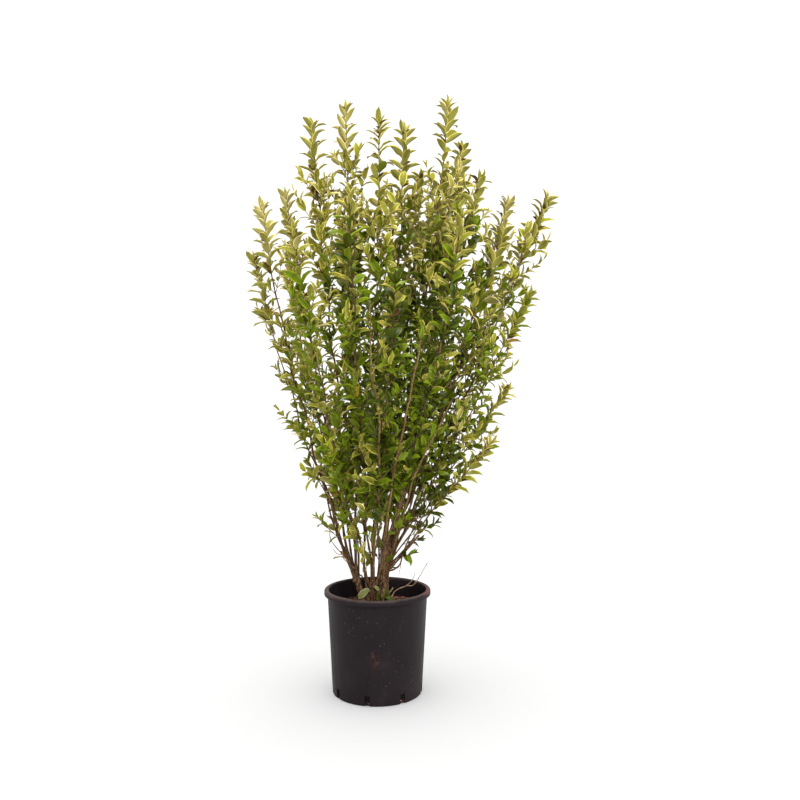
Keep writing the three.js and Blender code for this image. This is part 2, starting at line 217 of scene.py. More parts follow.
def ramp(tree, value, stops):
    """A value turned into a colour by stops of (position, #rrggbb)."""
    node = add_node(tree, "ShaderNodeValToRGB")
    elements = node.color_ramp.elements
    while len(elements) < len(stops):
        elements.new(0.5)
    for element, (position, colour) in zip(elements, stops):
        element.position = position
        element.color = linear(colour)
    tree.links.new(value, node.inputs["Fac"])
    return node.outputs["Color"]


def mask(tree, value, low, high):
    """0 below low, 1 above high, and smooth between."""
    node = add_node(tree, "ShaderNodeMapRange", interpolation_type="SMOOTHSTEP")
    node.inputs["From Min"].default_value = low
    node.inputs["From Max"].default_value = high
    tree.links.new(value, node.inputs["Value"])
    return node.outputs["Result"]


def mix(tree, share, first, second, blend="MIX"):
    """Two colours mixed by a share, or by another blend."""
    node = add_node(tree, "ShaderNodeMix", data_type="RGBA", blend_type=blend)
    tree.links.new(share, node.inputs["Factor"])
    for socket, colour in (("A", first), ("B", second)):
        target = [s for s in node.inputs if s.name == socket and s.type == "RGBA"][0]
        if isinstance(colour, str):
            target.default_value = linear(colour)
        else:
            tree.links.new(colour, target)
    return [s for s in node.outputs if s.type == "RGBA"][0]


def calculate(tree, operation, *values):
    """A Math node on numbers and on other nodes' outputs."""
    node = add_node(tree, "ShaderNodeMath", operation=operation)
    for socket, value in zip(node.inputs, values):
        if isinstance(value, (int, float)):
            socket.default_value = value
        else:
            tree.links.new(value, socket)
    return node.outputs["Value"]


def times(tree, first, second):
    return calculate(tree, "MULTIPLY", first, second)


def dots(tree, place, scale, inner, outer):
    """Round dots: 1 inside the inner distance from a cell's point, 0 outside the outer one."""
    node = add_node(tree, "ShaderNodeTexVoronoi", feature="F1")
    node.inputs["Scale"].default_value = scale
    tree.links.new(place, node.inputs["Vector"])
    return calculate(tree, "SUBTRACT", 1.0, mask(tree, node.outputs["Distance"], inner, outer))


def dress(tree, shader, colour, height, depth, strength=1.0):
    """Link a colour and a bump to a shader."""
    tree.links.new(colour, shader.inputs["Base Color"])
    node = add_node(tree, "ShaderNodeBump")
    node.inputs["Strength"].default_value = strength
    node.inputs["Distance"].default_value = depth
    tree.links.new(height, node.inputs["Height"])
    tree.links.new(node.outputs["Normal"], shader.inputs["Normal"])


# %% [markdown]
# ## The camera
# The photograph looks level at the plant from about two metres, a little to its right. The pot's rim,
# 300 mm across, gives the distance, and the ellipse of the rim gives the height of the lens.

# %% Camera
CAMERA_PLACE = (0.0637, -2.2, 0.819)
LENS_MM = 35
SENSOR_MM = 36

start_fresh()
bpy.ops.object.camera_add(location=CAMERA_PLACE, rotation=(math.pi / 2, 0, 0))
camera = bpy.context.object
camera.name = "camera"
camera.data.lens = LENS_MM
camera.data.sensor_width = SENSOR_MM
camera.data.sensor_fit = "HORIZONTAL"
bpy.context.scene.camera = camera
print("camera at", CAMERA_PLACE)

# %% [markdown]
# ## Light and floor
# The photograph is a studio shot on pure white, with soft light from all around, a little stronger from
# above and in front. A white world gives the even part. One large lamp overhead and one at the front right
# give the leaves a lighter upper side. Both leave out the floor, so it stays pale and even, and what
# shadow there is round the pot is the soft one that the world's light leaves.

# %% World, lamps and floor
WORLD_STRENGTH = 1.05
LAMPS = (
    # name, place, size, watts
    ("lamp_over", (0.4, -1.6, 6.2), 2.2, 300),
    ("lamp_front", (2.2, -4.6, 3.6), 1.6, 235),
)
LAMP_AIM = Vector((0, 0, 0.9))
FLOOR_SIZE = 60
EXPOSURE = 0.14

scene = bpy.context.scene
scene.view_settings.view_transform = "Standard"
scene.view_settings.look = "None"
scene.view_settings.exposure = EXPOSURE
world = bpy.data.worlds.new("white_studio")
world.use_nodes = True
background = world.node_tree.nodes["Background"]
background.inputs["Color"].default_value = (1, 1, 1, 1)
background.inputs["Strength"].default_value = WORLD_STRENGTH
scene.world = world

not_the_floor = bpy.data.collections.new("lit_by_lamps")
for name, place, size, watts in LAMPS:
    start_fresh()
    bpy.ops.object.light_add(type="AREA", location=place)
    lamp = bpy.context.object
    lamp.name = name
    lamp.data.size = size
    lamp.data.energy = watts
    lamp.rotation_euler = (LAMP_AIM - Vector(place)).to_track_quat("-Z", "Y").to_euler()
    lamp.light_linking.receiver_collection = not_the_floor

start_fresh()
bpy.ops.mesh.primitive_plane_add(size=FLOOR_SIZE)
floor = named("floor")
floor.data.materials.append(plain_material("floor_white", "#ffffff", roughness=0.9, shine=0.1))
floor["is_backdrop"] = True
not_the_floor.objects.link(floor)
not_the_floor.collection_objects[0].light_linking.link_state = "EXCLUDE"
print("lamps:", len(LAMPS))

# %% [markdown]
# ## Black plastic
# A nursery pot is injection moulded from recycled black plastic: semi-matt, slightly warm, with a dusty
# bloom, a few pale specks, fine scuffs, and a smudge of soil that water has dried on the front. The smudge
# is a stretched ball of distance whose edge is made ragged by noise. The rim's top is painted a lighter dusty
# brown, partly wear and partly a painted highlight.

# %% Pot material
SMUDGE_PLACE = (-0.004, 0.0, 0.121)
SMUDGE_SCALE = (60, 0, 30)
SMUDGE_EDGE = (1.05, 1.5)
SMUDGE_STRENGTH = 0.45
WORN_AND_HIGHLIGHT_FROM_TO = (0.290, 0.299)
RED_FROM_TO = (0.10, 0.15)


def make_pot_plastic():
    material, tree, shader = start_material("black_plastic", roughness=0.5, shine=0.12)
    place = object_place(tree)
    bloom = noise(tree, place, scale=14, detail=6)
    colour = ramp(tree, bloom, [(0.3, "#181215"), (0.55, "#1c1619"), (0.75, "#261d20")])
    # Fine vertical scuffs
    scuffs = noise(tree, object_place(tree, (180, 180, 14)), scale=1.0, detail=5, distortion=0.4)
    colour = mix(tree, mask(tree, scuffs, 0.64, 0.80), colour, "#302729")
    # Pale dry specks of dust, in patches
    patches = mask(tree, noise(tree, place, scale=9, detail=3), 0.5, 0.62)
    specks = dots(tree, place, scale=90, inner=0.05, outer=0.15)
    colour = mix(tree, times(tree, specks, patches), colour, "#5a524f")
    # One soil smudge on the front
    reach = add_node(tree, "ShaderNodeVectorMath", operation="LENGTH")
    tree.links.new(object_place(tree, SMUDGE_SCALE, SMUDGE_PLACE), reach.inputs[0])
    ragged = calculate(tree, "ADD", reach.outputs["Value"], noise(tree, place, scale=130, detail=5))
    smudge = calculate(tree, "SUBTRACT", 1.0, mask(tree, ragged, *SMUDGE_EDGE))
    smudge = times(tree, smudge, calculate(tree, "LESS_THAN", axis(tree, place, "Y"), 0.0))
    streaks = noise(tree, object_place(tree, (170, 170, 100)), scale=1.0, detail=4)
    soil = ramp(tree, streaks, [(0.35, "#170d0a"), (0.55, "#2f1b13"), (0.7, "#56402f")])
    colour = mix(tree, times(tree, smudge, SMUDGE_STRENGTH), colour, soil)
    # The rim's top, painted lighter: partly wear, partly a painted highlight, and redder on one side
    worn_and_highlight = calculate(tree, "ADD", axis(tree, place, "Z"), times(tree, bloom, 0.02))
    worn_and_highlight = mask(tree, worn_and_highlight, *WORN_AND_HIGHLIGHT_FROM_TO)
    colour = mix(tree, times(tree, worn_and_highlight, 0.5), colour, "#5c4b45")
    red_side = times(tree, mask(tree, axis(tree, place, "X"), *RED_FROM_TO), worn_and_highlight)
    colour = mix(tree, times(tree, red_side, 0.7), colour, "#6b2d26")
    dullness = calculate(tree, "MULTIPLY_ADD", bloom, 0.3, 0.38)
    tree.links.new(dullness, shader.inputs["Roughness"])
    relief = calculate(tree, "ADD", noise(tree, place, scale=700, detail=3), scuffs)
    dress(tree, shader, colour, relief, depth=0.0006, strength=0.35)
    return material


pot_plastic = make_pot_plastic()
print(pot_plastic.name, len(pot_plastic.node_tree.nodes), "nodes")

# %% [markdown]
# ## The pot
# The pot is a thin tapering wall under a rolled lip, closed by a floor, with a ring of drainage slots at
# its foot. A turned shape like this is drawn as one profile, vertex by vertex with Extrude, and spun round
# the axis. The slots are boxes that a Boolean modifier takes away, and a Bevel softens their edges.

# %% Turn the pot
POT_HEIGHT = 0.287
RIM_RADIUS = 0.150
BODY_TOP_RADIUS = 0.1405
BASE_RADIUS = 0.126
BASE_HEM = 0.012
WALL = 0.0026
LIP_HEIGHT = 0.015
LIP_ROUND = 0.005
SPIN_STEPS = 96
FOOT_ROUND = 0.003
LIP_FOOT_ROUND = 0.0025


def arc(centre, radius, from_deg, to_deg, steps):
    """Points of [radius, height] along part of a circle."""
    angles = [math.radians(from_deg + (to_deg - from_deg) * i / steps) for i in range(steps + 1)]
    return [(centre[0] + radius * math.cos(a), centre[1] + radius * math.sin(a)) for a in angles]


def wall_inside(height):
    """The radius of the inside of the wall at a height."""
    share = (height - WALL) / (POT_HEIGHT - LIP_HEIGHT - WALL)
    return BASE_RADIUS + (BODY_TOP_RADIUS - BASE_RADIUS) * share - WALL


def turn_profile(name, profile, steps):
    """Draw a profile of (radius, height) by Extrude and spin it round the Z axis."""
    start_fresh()
    bpy.ops.mesh.primitive_plane_add(size=0.01)
    piece = named(name)
    edit_all()
    bpy.ops.mesh.merge(type="CENTER")
    bpy.ops.transform.translate(value=(profile[0][0], 0, profile[0][1]))
    for (r0, z0), (r1, z1) in zip(profile, profile[1:]):
        bpy.ops.mesh.extrude_region_move(TRANSFORM_OT_translate={"value": (r1 - r0, 0, z1 - z0)})
    bpy.ops.mesh.select_all(action="SELECT")
    bpy.ops.mesh.spin(steps=steps, angle=2 * math.pi, center=(0, 0, 0), axis=(0, 0, 1))
    close_mesh(weld=1e-5)
    return piece


lip_bottom = POT_HEIGHT - LIP_HEIGHT
pot_profile = [
    (0, 0),
    (BASE_RADIUS - BASE_HEM, 0),
    *arc((BASE_RADIUS - FOOT_ROUND, FOOT_ROUND), FOOT_ROUND, -90, 0, 4),
    (BODY_TOP_RADIUS, lip_bottom),
    *arc((RIM_RADIUS - LIP_FOOT_ROUND, lip_bottom + LIP_FOOT_ROUND), LIP_FOOT_ROUND, -90, 0, 4),
    *arc((RIM_RADIUS - LIP_ROUND, POT_HEIGHT - LIP_ROUND), LIP_ROUND, 0, 90, 6),
    *arc((RIM_RADIUS - 2 * LIP_ROUND, POT_HEIGHT - LIP_ROUND / 2), LIP_ROUND / 2, 90, 180, 4),
    (wall_inside(lip_bottom), lip_bottom),
    (wall_inside(WALL), WALL),
    (0, WALL),
]
pot = turn_profile("pot_shell", pot_profile, SPIN_STEPS)
print("profile points:", len(pot_profile), "faces:", len(pot.data.polygons))

# %% Cut the drainage slots and add the moulding nub
SLOT_COUNT = 8
SLOT_SIZE = (0.015, 0.02, 0.056)
FIRST_SLOT_DEG = 34
SLOT_BEVEL = 0.0008
BEVEL_ANGLE_DEG = 50
NUB_PLACE = (-0.006, -0.1402, 0.264)
NUB_RADIUS = 0.0026
NUB_SHAPE = (0.8, 0.6, 1.5)

start_fresh()
cutters = []
for number in range(SLOT_COUNT):
    turn = math.radians(FIRST_SLOT_DEG + 360 * number / SLOT_COUNT)
    place = (BASE_RADIUS * math.sin(turn), -BASE_RADIUS * math.cos(turn), 0)
    bpy.ops.mesh.primitive_cube_add(size=1, location=place, rotation=(0, 0, turn), scale=SLOT_SIZE)
    cutters.insert(0, named("slot_cutter"))
cutter = join(cutters)
apply_modifier(pot, "BOOLEAN", operation="DIFFERENCE", object=cutter, solver="EXACT")
bpy.data.objects.remove(cutter)
apply_modifier(pot, "BEVEL", width=SLOT_BEVEL, segments=2, limit_method="ANGLE",
               angle_limit=math.radians(BEVEL_ANGLE_DEG))

start_fresh()
bpy.ops.mesh.primitive_uv_sphere_add(segments=12, ring_count=8, radius=NUB_RADIUS, location=NUB_PLACE)
nub = named("nub")
bpy.ops.object.transform_apply()
edit_all()
bpy.ops.transform.resize(value=NUB_SHAPE, center_override=NUB_PLACE)
join([pot, nub])
smooth(40)
finish_piece(pot, [pot_plastic], ["pot"])

# %% [markdown]
# ## The potting mix
# The mix is a dark bed of peat and composted bark, raised a little round the stools and lower towards the
# wall. Its body is a turned solid whose top has many rings, and a Displace modifier makes those uneven.

# %% Body of the potting mix
SOIL_LEVEL = 0.240
SOIL_FALL = 0.006
SOIL_MOUND = 0.010
SOIL_MOUND_RADIUS = 0.100
SOIL_FLAT_RADIUS = 0.088
SOIL_RINGS = 22
SOIL_ROUGH = 0.007
SOIL_LUMP = 0.018
SOIL_HEM = 0.004
GAP = 0.0003


def soil_height(radius):
    """The height of the potting mix at a distance from the middle."""
    edge = wall_inside(SOIL_LEVEL - SOIL_FALL)
    share = max(0, (radius - SOIL_FLAT_RADIUS) / (edge - SOIL_FLAT_RADIUS))
    mound = SOIL_MOUND * max(0, 1 - (radius / SOIL_MOUND_RADIUS) ** 2)
    return SOIL_LEVEL + mound - SOIL_FALL * share


def make_mix_material():
    material, tree, shader = start_material("damp_mix", roughness=0.95, shine=0.15)
    place = object_place(tree)
    stops = [(0.3, "#1d0f0b"), (0.48, "#3c2117"), (0.6, "#633a29"), (0.72, "#855b44")]
    colour = ramp(tree, noise(tree, place, scale=95, detail=6), stops)
    # Painted shade: low in the pot, where the mix shows through the slots, it is painted near black
    colour = mix(tree, mask(tree, axis(tree, place, "Z"), 0.05, 0.2), "#0e0705", colour)
    dress(tree, shader, colour, noise(tree, place, scale=260, detail=6), depth=0.004)
    return material


soil_edge = wall_inside(SOIL_LEVEL - SOIL_FALL) - GAP
soil_profile = [(0, WALL + GAP), (wall_inside(WALL) - GAP, WALL + GAP)]
for ring in range(SOIL_RINGS + 1):
    radius = soil_edge * (1 - ring / SOIL_RINGS)
    soil_profile.append((radius, soil_height(radius)))
mix_bed = turn_profile("mix_bed", soil_profile, SPIN_STEPS)
soil_top = mix_bed.vertex_groups.new(name="top")
loose = [v.index for v in mix_bed.data.vertices
         if v.co.z > SOIL_LEVEL - SOIL_FALL - GAP and math.hypot(v.co.x, v.co.y) < soil_edge - SOIL_HEM]
soil_top.add(loose, 1.0, "REPLACE")
lumps = bpy.data.textures.new("lumps", "CLOUDS")
lumps.noise_scale = SOIL_LUMP
lumps.noise_depth = 3
apply_modifier(mix_bed, "DISPLACE", texture=lumps, texture_coords="LOCAL", direction="Z",
               strength=SOIL_ROUGH, mid_level=0.6, vertex_group="top")
smooth(35)
finish_piece(mix_bed, [make_mix_material()], ["potting_mix"])

# %% [markdown]
# ## Meshes from arrays
# Crumbs, twigs and leaves are repeated hundreds or thousands of times. Each kind is modelled once, read as
# arrays of corners and triangles, and copied by multiplying those arrays with a place, a direction and a
# size for each copy. The copies become one mesh, whose faces keep the material that was dealt to them.

# %% Read a model as arrays and write arrays as a piece
def read_model(piece):
    """The corners, triangles and material numbers of a small model, which is then removed."""
    apply_modifier(piece, "TRIANGULATE")
    corners = np.array([vertex.co for vertex in piece.data.vertices])
    triangles = np.array([list(face.vertices) for face in piece.data.polygons])
    roles = np.array([face.material_index for face in piece.data.polygons])
    bpy.data.objects.remove(piece)
    return corners, triangles, roles


def write_piece(name, parts, smooth_deg):
    """One mesh object from several sets of corners, triangles and a material slot for each triangle."""
    starts = np.cumsum([0] + [len(part[0]) for part in parts])
    corners = np.concatenate([part[0] for part in parts])
    triangles = np.concatenate([part[1] + start for part, start in zip(parts, starts)])
    slots = np.concatenate([part[2] for part in parts])
    mesh = bpy.data.meshes.new(name)
    mesh.from_pydata(corners.tolist(), [], triangles.tolist())
    mesh.polygons.foreach_set("material_index", slots.astype(np.int32))
    piece = bpy.data.objects.new(name, mesh)
    bpy.context.collection.objects.link(piece)
    make_active(piece)
    smooth(smooth_deg)
    return piece


def place_copies(model, frames, places, sizes, slot_of_copy):
    """Copies of a model: frames holds its x, y and z directions, slot_of_copy the slot of its role 0."""
    corners, triangles, roles = model
    count = len(places)
    spread = np.einsum("vk,nkc->nvc", corners, frames) * sizes[:, None, None] + places[:, None, :]
    offsets = np.arange(count)[:, None, None] * len(corners)
    faces = triangles[None] + offsets
    slots = slot_of_copy[:, None] + roles[None]
    return spread.reshape(-1, 3), faces.reshape(-1, 3), slots.ravel()


def between(start, end, share):
    return start + (end - start) * share


def unit(vector):
    return vector / np.linalg.norm(vector)


def unit_rows(vectors):
    return vectors / np.linalg.norm(vectors, axis=1, keepdims=True)


# %% [markdown]
# ## Crumbs of bark
# Crumbs of composted bark lie on the mix, and a few have lodged in the drainage slots. A bumpy texture
# could only hint at them, so they are real pieces: four kinds, each a small sphere that is flattened and
# pushed about, and strewn by the hundred.

# %% Bark crumbs on the potting mix and in the slots
CRUMB_SEED = 7
CRUMB_LENGTH = 1.3
CRUMB_WIDTHS = (0.75, 0.85, 0.95, 1.05)
CRUMB_THICKNESS = 0.35
CRUMB_ROUGH = 0.35
CRUMB_SMOOTH_DEG = 25
CRUMB_COUNT = 1500
CRUMB_SIZE = (0.0018, 0.0062)
CRUMB_SHRINK = (0.6, 1)
CRUMB_HEM = 0.006
CRUMB_HEIGHTS = (-0.002, 0.0025)
CRUMB_TILT = 0.35
CRUMB_COLOURS = ("#392016", "#60392a", "#865943", "#a98368", "#22140e")
CRUMB_ODDS = (0.3, 0.32, 0.2, 0.06, 0.12)
SLOT_CRUMBS = 60
SLOT_CRUMB_SIZE = 0.45
SLOT_CRUMB_RADII = (0.1165, 0.1235)
SLOT_CRUMB_HEIGHTS = (0.0020, 0.0110)


def model_crumb(number, width):
    """A flat angular crumb, about 2 across."""
    start_fresh()
    bpy.ops.mesh.primitive_ico_sphere_add(subdivisions=1, radius=1)
    crumb = named("crumb")
    edit_all()
    bpy.ops.transform.vertex_random(offset=CRUMB_ROUGH, seed=number)
    bpy.ops.transform.resize(value=(CRUMB_LENGTH, width, CRUMB_THICKNESS))
    close_mesh()
    return read_model(crumb)


def turned_frames(rng, count, tilt):
    """Frames turned at random round Z and tilted a little."""
    turn = rng.uniform(0, 2 * math.pi, count)
    lean = rng.normal(0, tilt, (count, 2))
    x = unit_rows(np.stack([np.cos(turn), np.sin(turn), lean[:, 0]], 1))
    up = np.stack([lean[:, 1], lean[:, 0], np.ones(count)], 1)
    y = unit_rows(np.cross(up, x))
    return np.stack([x, y, np.cross(x, y)], 1)


rng = np.random.default_rng(CRUMB_SEED)
on_top = CRUMB_COUNT // len(CRUMB_WIDTHS)
lodged = SLOT_COUNT * SLOT_CRUMBS // len(CRUMB_WIDTHS)
count = on_top + lodged
crumb_parts = []
for number, width in enumerate(CRUMB_WIDTHS):
    top_radius = (soil_edge - CRUMB_HEM) * np.sqrt(rng.uniform(0, 1, on_top))
    top_turn = rng.uniform(0, 2 * math.pi, on_top)
    top_height = np.array([soil_height(r) for r in top_radius]) + rng.uniform(*CRUMB_HEIGHTS, on_top)
    slot_turn = math.radians(FIRST_SLOT_DEG) + 2 * math.pi * rng.integers(0, SLOT_COUNT, lodged) / SLOT_COUNT
    slot_turn += rng.uniform(-0.5, 0.5, lodged) * SLOT_SIZE[0] / BASE_RADIUS - math.pi / 2
    turn = np.concatenate([top_turn, slot_turn])
    radius = np.concatenate([top_radius, rng.uniform(*SLOT_CRUMB_RADII, lodged)])
    height = np.concatenate([top_height, rng.uniform(*SLOT_CRUMB_HEIGHTS, lodged)])
    places = np.stack([radius * np.cos(turn), radius * np.sin(turn), height], 1)
    sizes = rng.uniform(*CRUMB_SIZE, count) * rng.uniform(*CRUMB_SHRINK, count)
    sizes[-lodged:] *= SLOT_CRUMB_SIZE
    dealt = rng.choice(len(CRUMB_COLOURS), count, p=CRUMB_ODDS)
    frames = turned_frames(rng, count, CRUMB_TILT)
    crumb_parts.append(place_copies(model_crumb(number, width), frames, places, sizes, dealt))
crumb_paints = [plain_material(f"crumb_{i}", c, roughness=0.9) for i, c in enumerate(CRUMB_COLOURS)]
finish_piece(write_piece("bark_crumbs", crumb_parts, CRUMB_SMOOTH_DEG), crumb_paints)

# %% [markdown]
# ## How the shrub stands
# Each cane leaves a stool near its top and bows to its own tip. A bow of 1 is straight, more turns upright
# towards the tip, and less leans out near it. These are the plant's driving places, and everything that
# grows, bark, twigs and leaves, is worked out from them.

# %% Where each cane stands
LEFT = (-0.060, -0.001, 0.318)
FRONT = (-0.014, -0.026, 0.288)
RIGHT = (0.020, 0.001, 0.334)
FORK = (0.029, 0.000, 0.362)
BACK_LEFT = (-0.028, 0.030, SOIL_LEVEL)
BACK_MIDDLE = (-0.006, 0.038, SOIL_LEVEL)
NONE = (0, 0, 0)
CANES = (
    # name, tip, bow, stool, aside of its middle, group of leaves
    ("left_edge", (-0.355, 0.03, 1.245), 1.2, LEFT, (-0.004, 0.001, 0), "left"),
    ("left_high", (-0.31, -0.08, 1.365), 1.4, LEFT, (-0.003, -0.004, -0.008), "left"),
    ("left_rear", (-0.274, 0.09, 1.445), 1.15, LEFT, (0, 0.004, 0.004), "left"),
    ("left_spire", (-0.178, -0.06, 1.595), 1.15, LEFT, (0.003, -0.003, 0.006), "middle"),
    ("left_tall", (-0.092, 0.04, 1.683), 1.25, LEFT, (0.006, 0.002, 0), "middle"),
    ("front_spire", (0.009, -0.13, 1.583), 1.2, FRONT, (0.002, 0.003, 0.006), "middle"),
    ("middle_spire", (0.078, 0.1, 1.64), 1.2, RIGHT, (-0.009, 0.005, 0), "middle"),
    ("rear_spire", (0.13, 0.24, 1.545), 1.2, RIGHT, (-0.003, 0.009, -0.01), "back"),
    ("tallest", (0.198, -0.03, 1.669), 1.3, RIGHT, (-0.002, -0.007, 0.004), "right"),
    ("right_tall", (0.25, 0.14, 1.6), 1.15, RIGHT, (0.003, 0.006, 0.006), "right"),
    ("right_front", (0.278, -0.12, 1.435), 1.1, RIGHT, (0.003, -0.009, 0), "right"),
    ("right_high", (0.381, 0.07, 1.417), 1.1, FORK, (-0.003, 0.004, 0.004), "right"),
    ("right_inner", (0.35, -0.05, 1.3), 1.1, FORK, (0, -0.004, -0.002), "edge"),
    ("right_edge", (0.48, -0.02, 1.402), 1.08, FORK, (0.002, 0, -0.004), "edge"),
    ("right_shoulder", (0.414, -0.15, 1.122), 1.05, FORK, (0.002, -0.006, -0.008), "edge"),
    ("right_low", (0.391, 0.04, 0.873), 0.95, FORK, (0.003, 0.004, -0.012), "edge"),
    ("right_lowest", (0.335, -0.09, 0.727), 0.95, FORK, (0.002, -0.003, -0.016), "edge"),
    ("front_left", (-0.06, -0.33, 1.33), 1.2, FRONT, (-0.001, -0.002, 0.004), "front"),
    ("front_right", (0.215, -0.3, 1.29), 1.3, FRONT, (0.003, -0.002, 0), "front"),
    ("front_middle", (0.055, -0.4, 1.12), 1.1, FRONT, (0.001, -0.004, -0.006), "front"),
    ("left_front", (-0.205, -0.25, 1.275), 1.25, FRONT, (-0.003, 0, 0), "front"),
    ("left_back", (-0.29, 0.24, 1.25), 1.2, LEFT, (-0.001, 0.006, -0.01), "back"),
    ("back_left", (-0.12, 0.33, 1.42), 1.2, BACK_LEFT, NONE, "back"),
    ("back_right", (0.215, 0.37, 1.38), 1.2, RIGHT, (0.002, 0.011, -0.008), "back"),
    ("back_middle", (0.03, 0.42, 1.23), 1.1, BACK_MIDDLE, NONE, "back"),
    ("right_back", (0.39, 0.255, 1.2), 1.1, RIGHT, (0.008, 0.008, -0.002), "back"),
)
NAMES = [cane[0] for cane in CANES]
TIPS = np.array([cane[1] for cane in CANES])
BOWS = np.array([cane[2] for cane in CANES])
FEET = np.array([np.add(cane[3], cane[4]) for cane in CANES])
GROUPS = [cane[5] for cane in CANES]
print("canes:", len(CANES), "tallest:", NAMES[int(TIPS[:, 2].argmax())])

# %% [markdown]
# ## A point on a cane
# The bow turns a share of a cane's height into a share of its run from foot to tip. A sway of a few
# millimetres, which dies out at both ends, keeps the canes from looking ruled. A cane thins from foot to
# tip, and some are stouter than others.

# %% The rule for a cane's line and thickness
CANE_TIP_RADIUS = 0.0013
CANE_BASE_RADIUS = 0.0029
CANE_RADIUS_PER_METRE = 0.0022
CANE_TAPER = 0.62
THICKNESS = (0.62, 0.95, 0.72, 0.85, 0.56)
SWAY = 0.0055
SWAY_PER_METRE = 24
SWAY_END = 0.6
ASPECT = 1.3
DIRECTION_STEP = 0.01


def cane_axes(heights):
    """The level places of all the canes' axes at each height."""
    share = np.clip((heights[:, None] - FEET[:, 2]) / (TIPS[:, 2] - FEET[:, 2]), 0, 1)
    run = 1 - (1 - share) ** BOWS
    number = np.arange(len(CANES))
    turn = heights[:, None] * (SWAY_PER_METRE + number % 7) + number
    circle = np.stack([np.sin(turn), np.cos(ASPECT * turn)], 2)
    sway = SWAY * np.sin(math.pi * share ** SWAY_END)[..., None] * circle
    return FEET[:, :2] + run[..., None] * (TIPS - FEET)[:, :2] + sway


def cane_point(index, height):
    x, y = cane_axes(np.array([height]))[0, index]
    return np.array([x, y, height])


def cane_direction(index, height):
    return unit(cane_point(index, height + DIRECTION_STEP) - cane_point(index, height - DIRECTION_STEP))


def cane_radius(index, height):
    tip = TIPS[index, 2]
    foot = (CANE_BASE_RADIUS + CANE_RADIUS_PER_METRE * (tip - SOIL_LEVEL)) * THICKNESS[index % len(THICKNESS)]
    share = np.clip((height - SOIL_LEVEL) / (tip - SOIL_LEVEL), 0, 1)
    return between(foot, CANE_TIP_RADIUS, share ** CANE_TAPER)


print("thickest foot, mm:", round(2000 * max(cane_radius(i, SOIL_LEVEL) for i in range(len(CANES))), 1))

# %% [markdown]
# ## Old wood
# The shrub has been cut back hard more than once, and what is left is a set of gnarled stools. Each is
# drawn as a circle that is extruded ring by ring along its axis, a little off the line each time. A
# Subdivision modifier rounds it and two Displace modifiers grow the bark: broad lumps first, then ridges
# that run lengthwise, since their texture is read in the space of an empty that is stretched along Z.

# %% Bark and cut wood materials
def make_old_bark():
    material, tree, shader = start_material("old_bark_relief", roughness=0.9, shine=0.2)
    ridges = noise(tree, object_place(tree, (1, 1, 0.28)), scale=210, detail=8, distortion=0.6)
    colour = ramp(tree, ridges, [(0.3, "#23160d"), (0.46, "#483320"), (0.58, "#6b5136"), (0.74, "#937a58")])
    patches = mask(tree, noise(tree, object_place(tree), scale=36, detail=4), 0.52, 0.68)
    dress(tree, shader, mix(tree, patches, colour, "#8d8266", "SOFT_LIGHT"), ridges, depth=0.003)
    return material


def make_cut_wood():
    material, tree, shader = start_material("cut_wood", roughness=0.85, shine=0.5)
    grain = noise(tree, object_place(tree), scale=320, detail=6)
    colour = ramp(tree, grain, [(0.32, "#7c6244"), (0.52, "#b49b76"), (0.7, "#d2bf9b")])
    dress(tree, shader, colour, grain, depth=0.002)
    return material


old_bark = make_old_bark()
cut_wood = make_cut_wood()
print("materials:", old_bark.name, cut_wood.name)

# %% Stools and the pruned limb
STOOL_STOPS = (0, 0.2, 0.5, 0.85, 1)
OLD_WOOD = (
    # name, node, foot, top, radii at the stops, seed
    ("bark_stool_right", "stool_right", (0.012, 0, 0.24), (0.022, 0.001, 0.35),
     (0.0225, 0.0165, 0.0145, 0.0135, 0.0115), 3),
    ("bark_stool_left", "stool_left", (-0.038, -0.002, 0.24), (-0.062, -0.001, 0.334),
     (0.0145, 0.0098, 0.0088, 0.0085, 0.0072), 5),
    ("bark_stool_front", "stool_front", (-0.016, -0.024, 0.24), (-0.014, -0.027, 0.302),
     (0.009, 0.0072, 0.0068, 0.0065, 0.0052), 8),
    ("bark_pruned_limb", "pruned_limb", (0.0225, 0.001, 0.338), (0.061, 0.002, 0.477),
     (0.0118, 0.0124, 0.0121, 0.0118, 0.0116), 13),
)
RING_STEP = 0.007
RING_SIDES = 16
RING_DRIFT = 0.0011
RING_SIZES = (0.93, 1.07)
FOOT_SUNK = 0.006
DRIFT_SHAPE = (1, 1, 0.3)
CUT_LEVEL = 0.001
CUT_INSETS = ((0.0016, 0), (0.003, -0.0006))
CUT_REACH = 1.25
CUT_UPRIGHT = 0.75
LUMP_SIZE = 0.020
LUMP_HEIGHT = 0.0050
RIDGE_SIZE = 0.0048
RIDGE_HEIGHT = 0.0026
RIDGE_STRETCH = 4.0
WOOD_SMOOTH_DEG = 60


def extrude_rings(name, places, radii):
    """A closed limb: a filled circle extruded to each place and sized to each radius."""
    start_fresh()
    bpy.ops.mesh.primitive_circle_add(vertices=RING_SIDES, radius=radii[0], fill_type="NGON")
    piece = named(name)
    edit_all()
    bpy.ops.transform.translate(value=tuple(places[0]))
    for number in range(1, len(places)):
        step = tuple(places[number] - places[number - 1])
        growth = radii[number] / radii[number - 1]
        bpy.ops.mesh.extrude_region_move(TRANSFORM_OT_translate={"value": step})
        bpy.ops.transform.resize(value=(growth, growth, 1), center_override=tuple(places[number]))
    close_mesh()
    return piece


def rings_along(foot, top, radii, rng):
    """Places and radii of the rings from a foot that is sunk in the mix to a top."""
    foot = foot - (top - foot) * FOOT_SUNK / (top - foot)[2]
    count = int(np.linalg.norm(top - foot) / RING_STEP)
    places, sizes = [], []
    for ring in range(count + 1):
        drift = rng.normal(0, RING_DRIFT, 3) * DRIFT_SHAPE * (ring > 0)
        places.append(between(foot, top, ring / count) + drift)
        sizes.append(float(np.interp(ring / count, STOOL_STOPS, radii)) * rng.uniform(*RING_SIZES))
    return places, sizes


